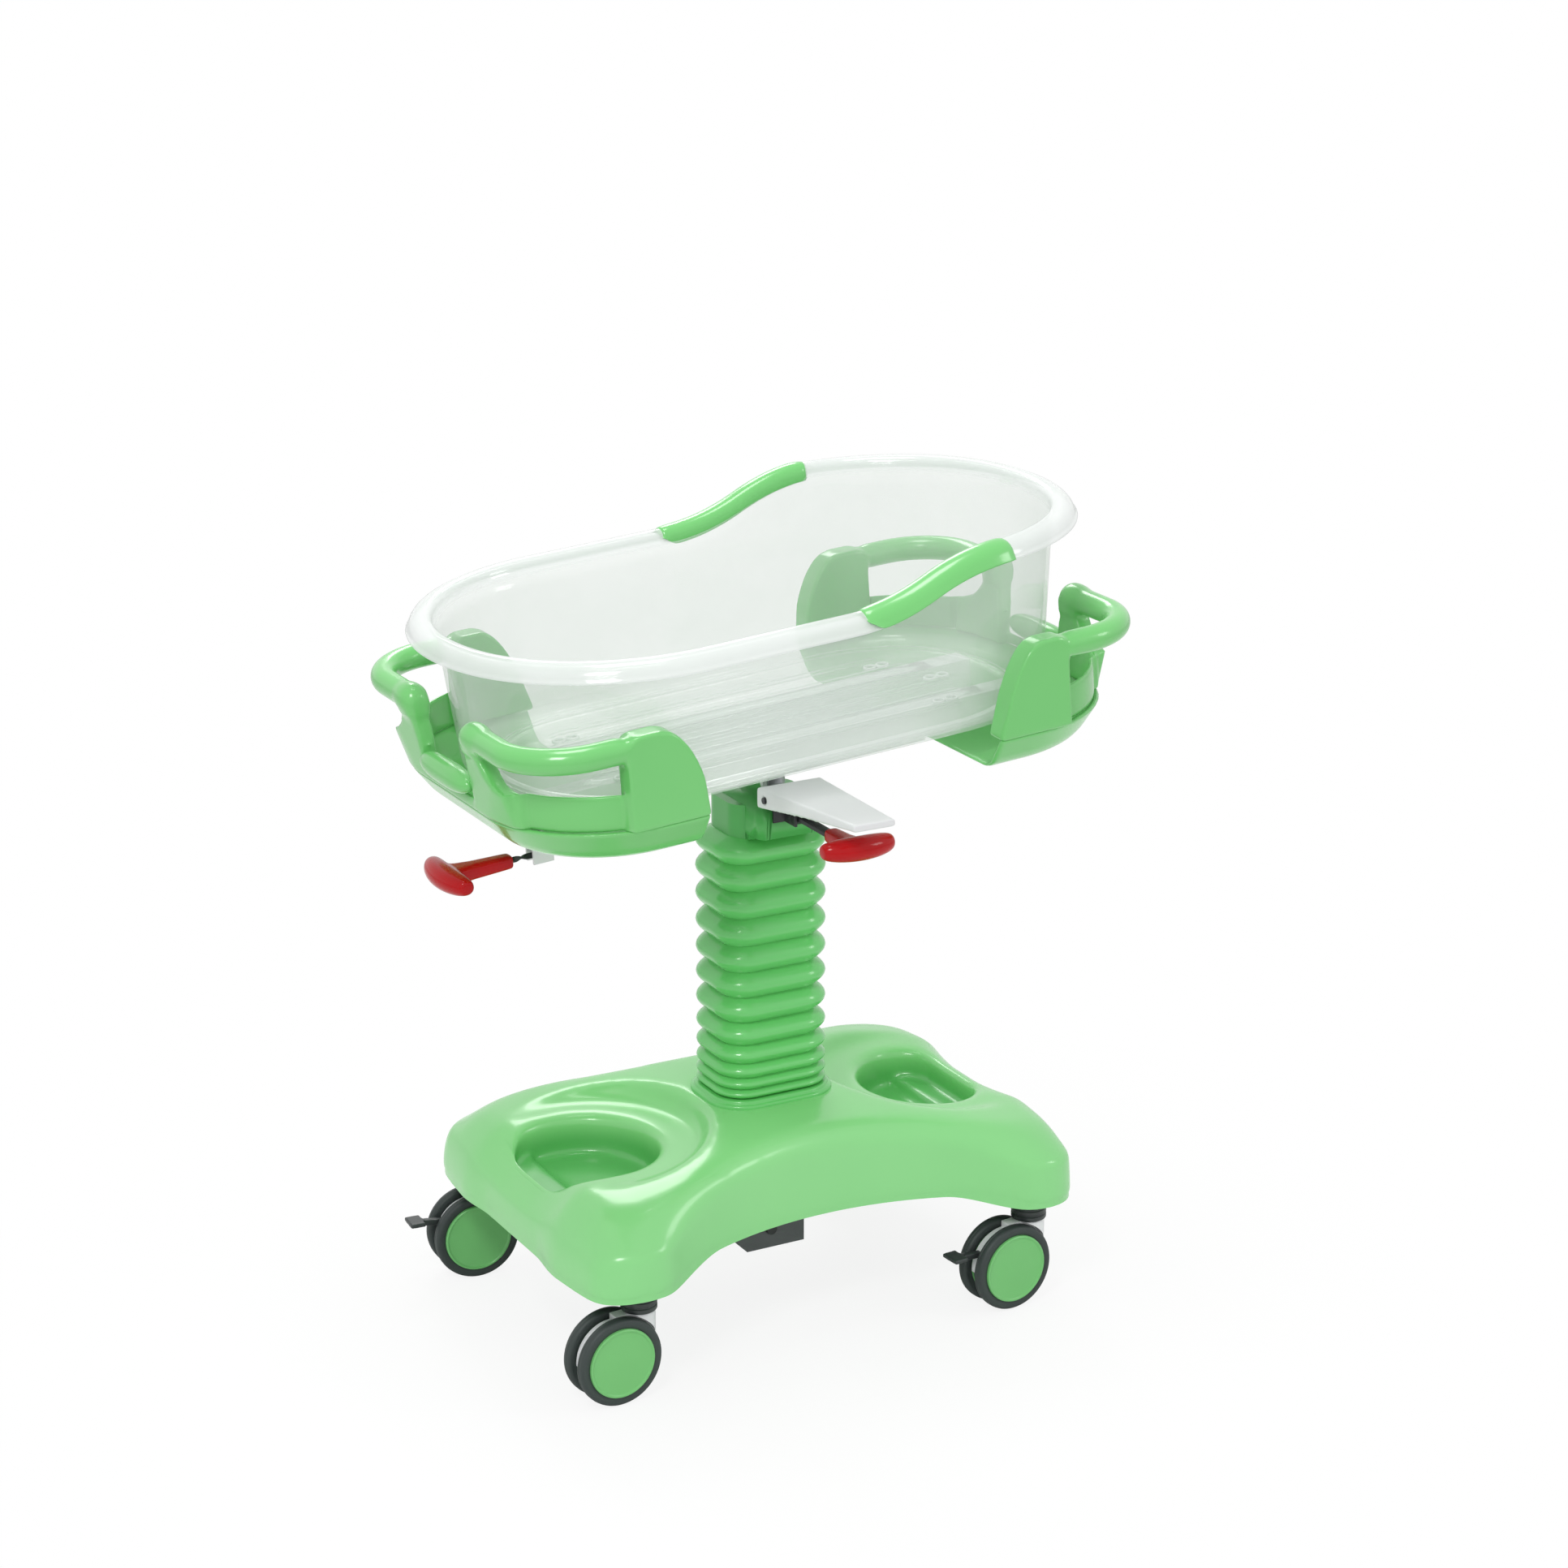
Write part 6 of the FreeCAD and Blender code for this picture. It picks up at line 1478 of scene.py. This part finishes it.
@dataclass
class RimGrips:
    """The two green grips over the sloped stretch of the rim.

    Attributes:
        tub: the tub whose rim they hold.
        spans: where each grip starts and ends along the crib in millimetres.
        thick: how far it stands off the rim.
        gap: how far its inside stands off the rim.
    """

    tub: Tub
    spans: tuple[tuple[str, Point], ...] = (("back", (0, 198)), ("front", (14, 206)))
    thick: float = 2.6
    gap: float = 0.15

    OVER: ClassVar[tuple[Point, ...]] = ((-4, -19), *Tub.RIM[:11], (24, -16), (26, -20))

    def build(self) -> None:
        """Build both grips, the front one mirrored."""
        for name, span in self.spans:
            bm = self.grip(span)
            if name == "front":
                transform(bm, Matrix.Scale(-1, 4, Vector((0, 1, 0))))
            transform(bm, level_to_row())
            make_piece(f"{name}_rim_grip_moulded", bm, Finish.HOLDER, "basin", [f"{name}_rim_grip"], levels=1)

    def grip(self, span: Point) -> bmesh.types.BMesh:
        """A grip on the back side in the level frame, between two places along the crib."""
        bm = bmesh.new()
        low, high = span
        first = oval(*self.tub.half_sizes(self.tub.rim_high, 0))
        chosen = [index for index, (x, y) in enumerate(first) if y > 0 and low <= x <= high]
        rings = []
        count = len(chosen) - 1
        for number, index in enumerate(reversed(chosen)):
            share = number / count
            swell = max(1 - abs(2 * share - 1) ** 9, 0) ** 0.5
            rings.append(self.section(index, 0.25 + self.thick * swell, 8 + 18 * ramp(share, 0, 0.14)
                                      * (1 - 0.3 * ramp(share, 0.93, 1))))
        skin(bm, rings)
        close_up(bm)
        return bm

    def section(self, index: int, thick: float, drop: float) -> Ring:
        """The closed section of a grip at one station of the rim.

        Args:
            index: the station round the rim.
            thick: how far the grip stands off.
            drop: how far down it reaches.

        Returns:
            The section's points.
        """
        outside, inside = [], []
        stations = self.OVER
        for number, (outward, height) in enumerate(stations):
            before, after = stations[max(number - 1, 0)], stations[min(number + 1, len(stations) - 1)]
            run_out, run_up = after[0] - before[0], after[1] - before[1]
            length = math.hypot(run_out, run_up)
            away = (-run_up / length, run_out / length)
            height = max(height, -drop)
            outside.append(self.on_rim(index, outward + away[0] * thick, height + away[1] * thick))
            inside.append(self.on_rim(index, outward + away[0] * self.gap, height + away[1] * self.gap))
        return outside + inside[::-1]

    def on_rim(self, index: int, outward: float, height: float) -> Vector:
        """A point beside the rim at one of its stations."""
        x, y = oval(*self.tub.half_sizes(self.tub.rim_high, -outward))[index]
        return Vector((x, y, self.tub.rim_line(x) + height)) * MM


# Carried-over nodes

CARRIED: dict[Finish, tuple[str, ...]] = {
    Finish.PAINT: ("chassis_frame", "column_outer_tube"),
    Finish.PALE_PAINT: ("tilt_frame",),
    Finish.BLACK: ("column_guide_bush",),
    Finish.BLACK_PAINT: ("gas_spring_cylinder", "lever_pins"),
    Finish.STEEL: ("castor_sockets", "gas_spring_rod", "base_screws", "column_inner_tube", "tilt_pivot_pin",
                   "tray_screws", "castor_fl_axle", "castor_fr_axle", "castor_bl_axle", "castor_br_axle"),
}


def dress_carried_nodes() -> None:
    """Give each CAD node that stays its finish."""
    for finish, nodes in CARRIED.items():
        for node in nodes:
            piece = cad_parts[node]
            piece.data.materials.clear()
            piece.data.materials.append(finish.material())
            finish.slot


# Studio

@dataclass
class Studio:
    """The pale floor, the soft lights and the camera.

    Attributes:
        target: the point the camera looks at in metres.
        azimuth: the camera's side in degrees, clockwise from the front.
        elevation: its height angle in degrees.
        distance: its distance in metres.
        lens: its focal length in millimetres on a 36 mm sensor.
        floor_radius: the floor's radius in metres.
        world_level: the world's strength where it lights the crib.
    """

    target: Vector = field(default_factory=lambda: Vector((0.0299, 0, 0.5956)))
    azimuth: float = -28.7
    elevation: float = 17.8
    distance: float = 4.1363
    lens: float = 4600 / 1932 * 36
    floor_radius: float = 12.0
    world_level: float = 0.58

    LIGHTS: ClassVar[tuple[tuple[str, tuple[float, float, float], float, float], ...]] = (
        ("key", (-1.7, -1.7, 2.7), 0.75, 32), ("fill", (2.2, -1.9, 1.9), 0.8, 11),
        ("back", (0.7, 2.2, 2.3), 0.9, 15), ("top", (-0.2, 0.1, 2.9), 0.8, 17),
    )

    def build(self) -> None:
        """Build the floor, the world, the lights and the camera."""
        self.build_floor()
        self.build_world()
        for light in self.LIGHTS:
            self.add_light(*light)
        self.build_camera()

    def build_floor(self) -> None:
        """The floor, white to the camera and shaded only near the object."""
        bm = bmesh.new()
        bmesh.ops.create_circle(bm, cap_ends=True, segments=96, radius=self.floor_radius)
        mesh = mesh_of(bm, "studio_floor")
        floor = add_object("studio_floor", mesh)
        floor.location.z = -0.5 * MM
        sheet = NodeSheet(bpy.data.materials.new("studio_floor"))
        rays = sheet.node("ShaderNodeLightPath", {}, {}, "Is Camera Ray")
        radius = sheet.node("ShaderNodeVectorMath", {"operation": "LENGTH"}, {0: sheet.place()}, "Value")
        far = sheet.spread(radius * 0.5, 0.12, 0.45)
        grain = sheet.noise(60, 4)
        matte = sheet.node("ShaderNodeBsdfPrincipled", {}, {
            "Base Color": sheet.mixed(grain * 0.1, shade("FAFAFA"), shade("F2F2F2")), "Roughness": 0.6})
        white = sheet.node("ShaderNodeEmission", {}, {"Color": (1, 1, 1, 1), "Strength": 1.0})
        share = rays * (0.86 + 0.14 * far)
        surface = sheet.node("ShaderNodeMixShader", {}, {0: share, 1: matte, 2: white})
        mesh.materials.append(sheet.close(surface))

    def build_world(self) -> None:
        """A soft world that is plain white where it is seen directly, in gloss or through clear plastic."""
        world = bpy.data.worlds.new("studio")
        bpy.context.scene.world = world
        sheet = NodeSheet(world)
        camera, gloss, through = (sheet.node("ShaderNodeLightPath", {}, {}, f"Is {kind} Ray")
                                  for kind in ("Camera", "Glossy", "Transmission"))
        seen = camera.maths("MAXIMUM", camera.maths("MAXIMUM", camera, gloss), through)
        soft, plain = (sheet.node("ShaderNodeBackground", {}, {"Color": (1, 1, 1, 1), "Strength": level})
                       for level in (self.world_level, 1.0))
        sheet.close(sheet.node("ShaderNodeMixShader", {}, {0: seen, 1: soft, 2: plain}))

    def add_light(self, name: str, place: Sequence[float], size: float, power: float) -> None:
        """A square soft light that faces the crib.

        Args:
            name: the light's name.
            place: where it hangs, in metres.
            size: the length of its side.
            power: its power in watts.
        """
        light = bpy.data.lights.new(name, "AREA")
        light.shape, light.size, light.energy = "SQUARE", size, power
        lamp = add_object(name, light)
        lamp.location = place
        towards = self.target - Vector(place)
        lamp.rotation_euler = towards.to_track_quat("-Z", "Y").to_euler()

    def build_camera(self) -> None:
        """The camera at the photograph's angle."""
        camera = bpy.data.cameras.new("photo_view")
        camera.lens, camera.sensor_width, camera.sensor_fit = self.lens, 36, "HORIZONTAL"
        camera.clip_start, camera.clip_end = 0.1, 100
        holder = add_object("photo_view", camera)
        side, lift = math.radians(self.azimuth), math.radians(self.elevation)
        away = Vector((math.sin(side) * math.cos(lift), -math.cos(side) * math.cos(lift), math.sin(lift)))
        holder.location = self.target + away * self.distance
        holder.rotation_euler = (-away).to_track_quat("-Z", "Y").to_euler()
        bpy.context.scene.camera = holder


def main() -> None:
    """Build every piece in order, then the studio."""
    logging.basicConfig(level=logging.INFO, format="%(message)s")
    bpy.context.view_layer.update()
    scene = bpy.context.scene
    scene.view_settings.view_transform = "Standard"
    scene.cycles.transparent_max_bounces = 32
    dress_carried_nodes()
    BaseCover().build()
    SpringBox().build()
    castors = [Castor("fl", -247, -181, 3.7), Castor("fr", 247, -181, 4.9), Castor("bl", -247, 181, -5.0),
               Castor("br", 247, 181, 9.0)]
    for castor in castors:
        castor.build()
    for castor in castors[1:3]:
        castor.build_pedal()
    Bellows().build()
    ColumnHead().build()
    Levers().build()
    EndHolders().build()
    tub = Tub()
    tub.build()
    RimGrips(tub).build()
    Studio().build()


if __name__ == "__main__":
    main()
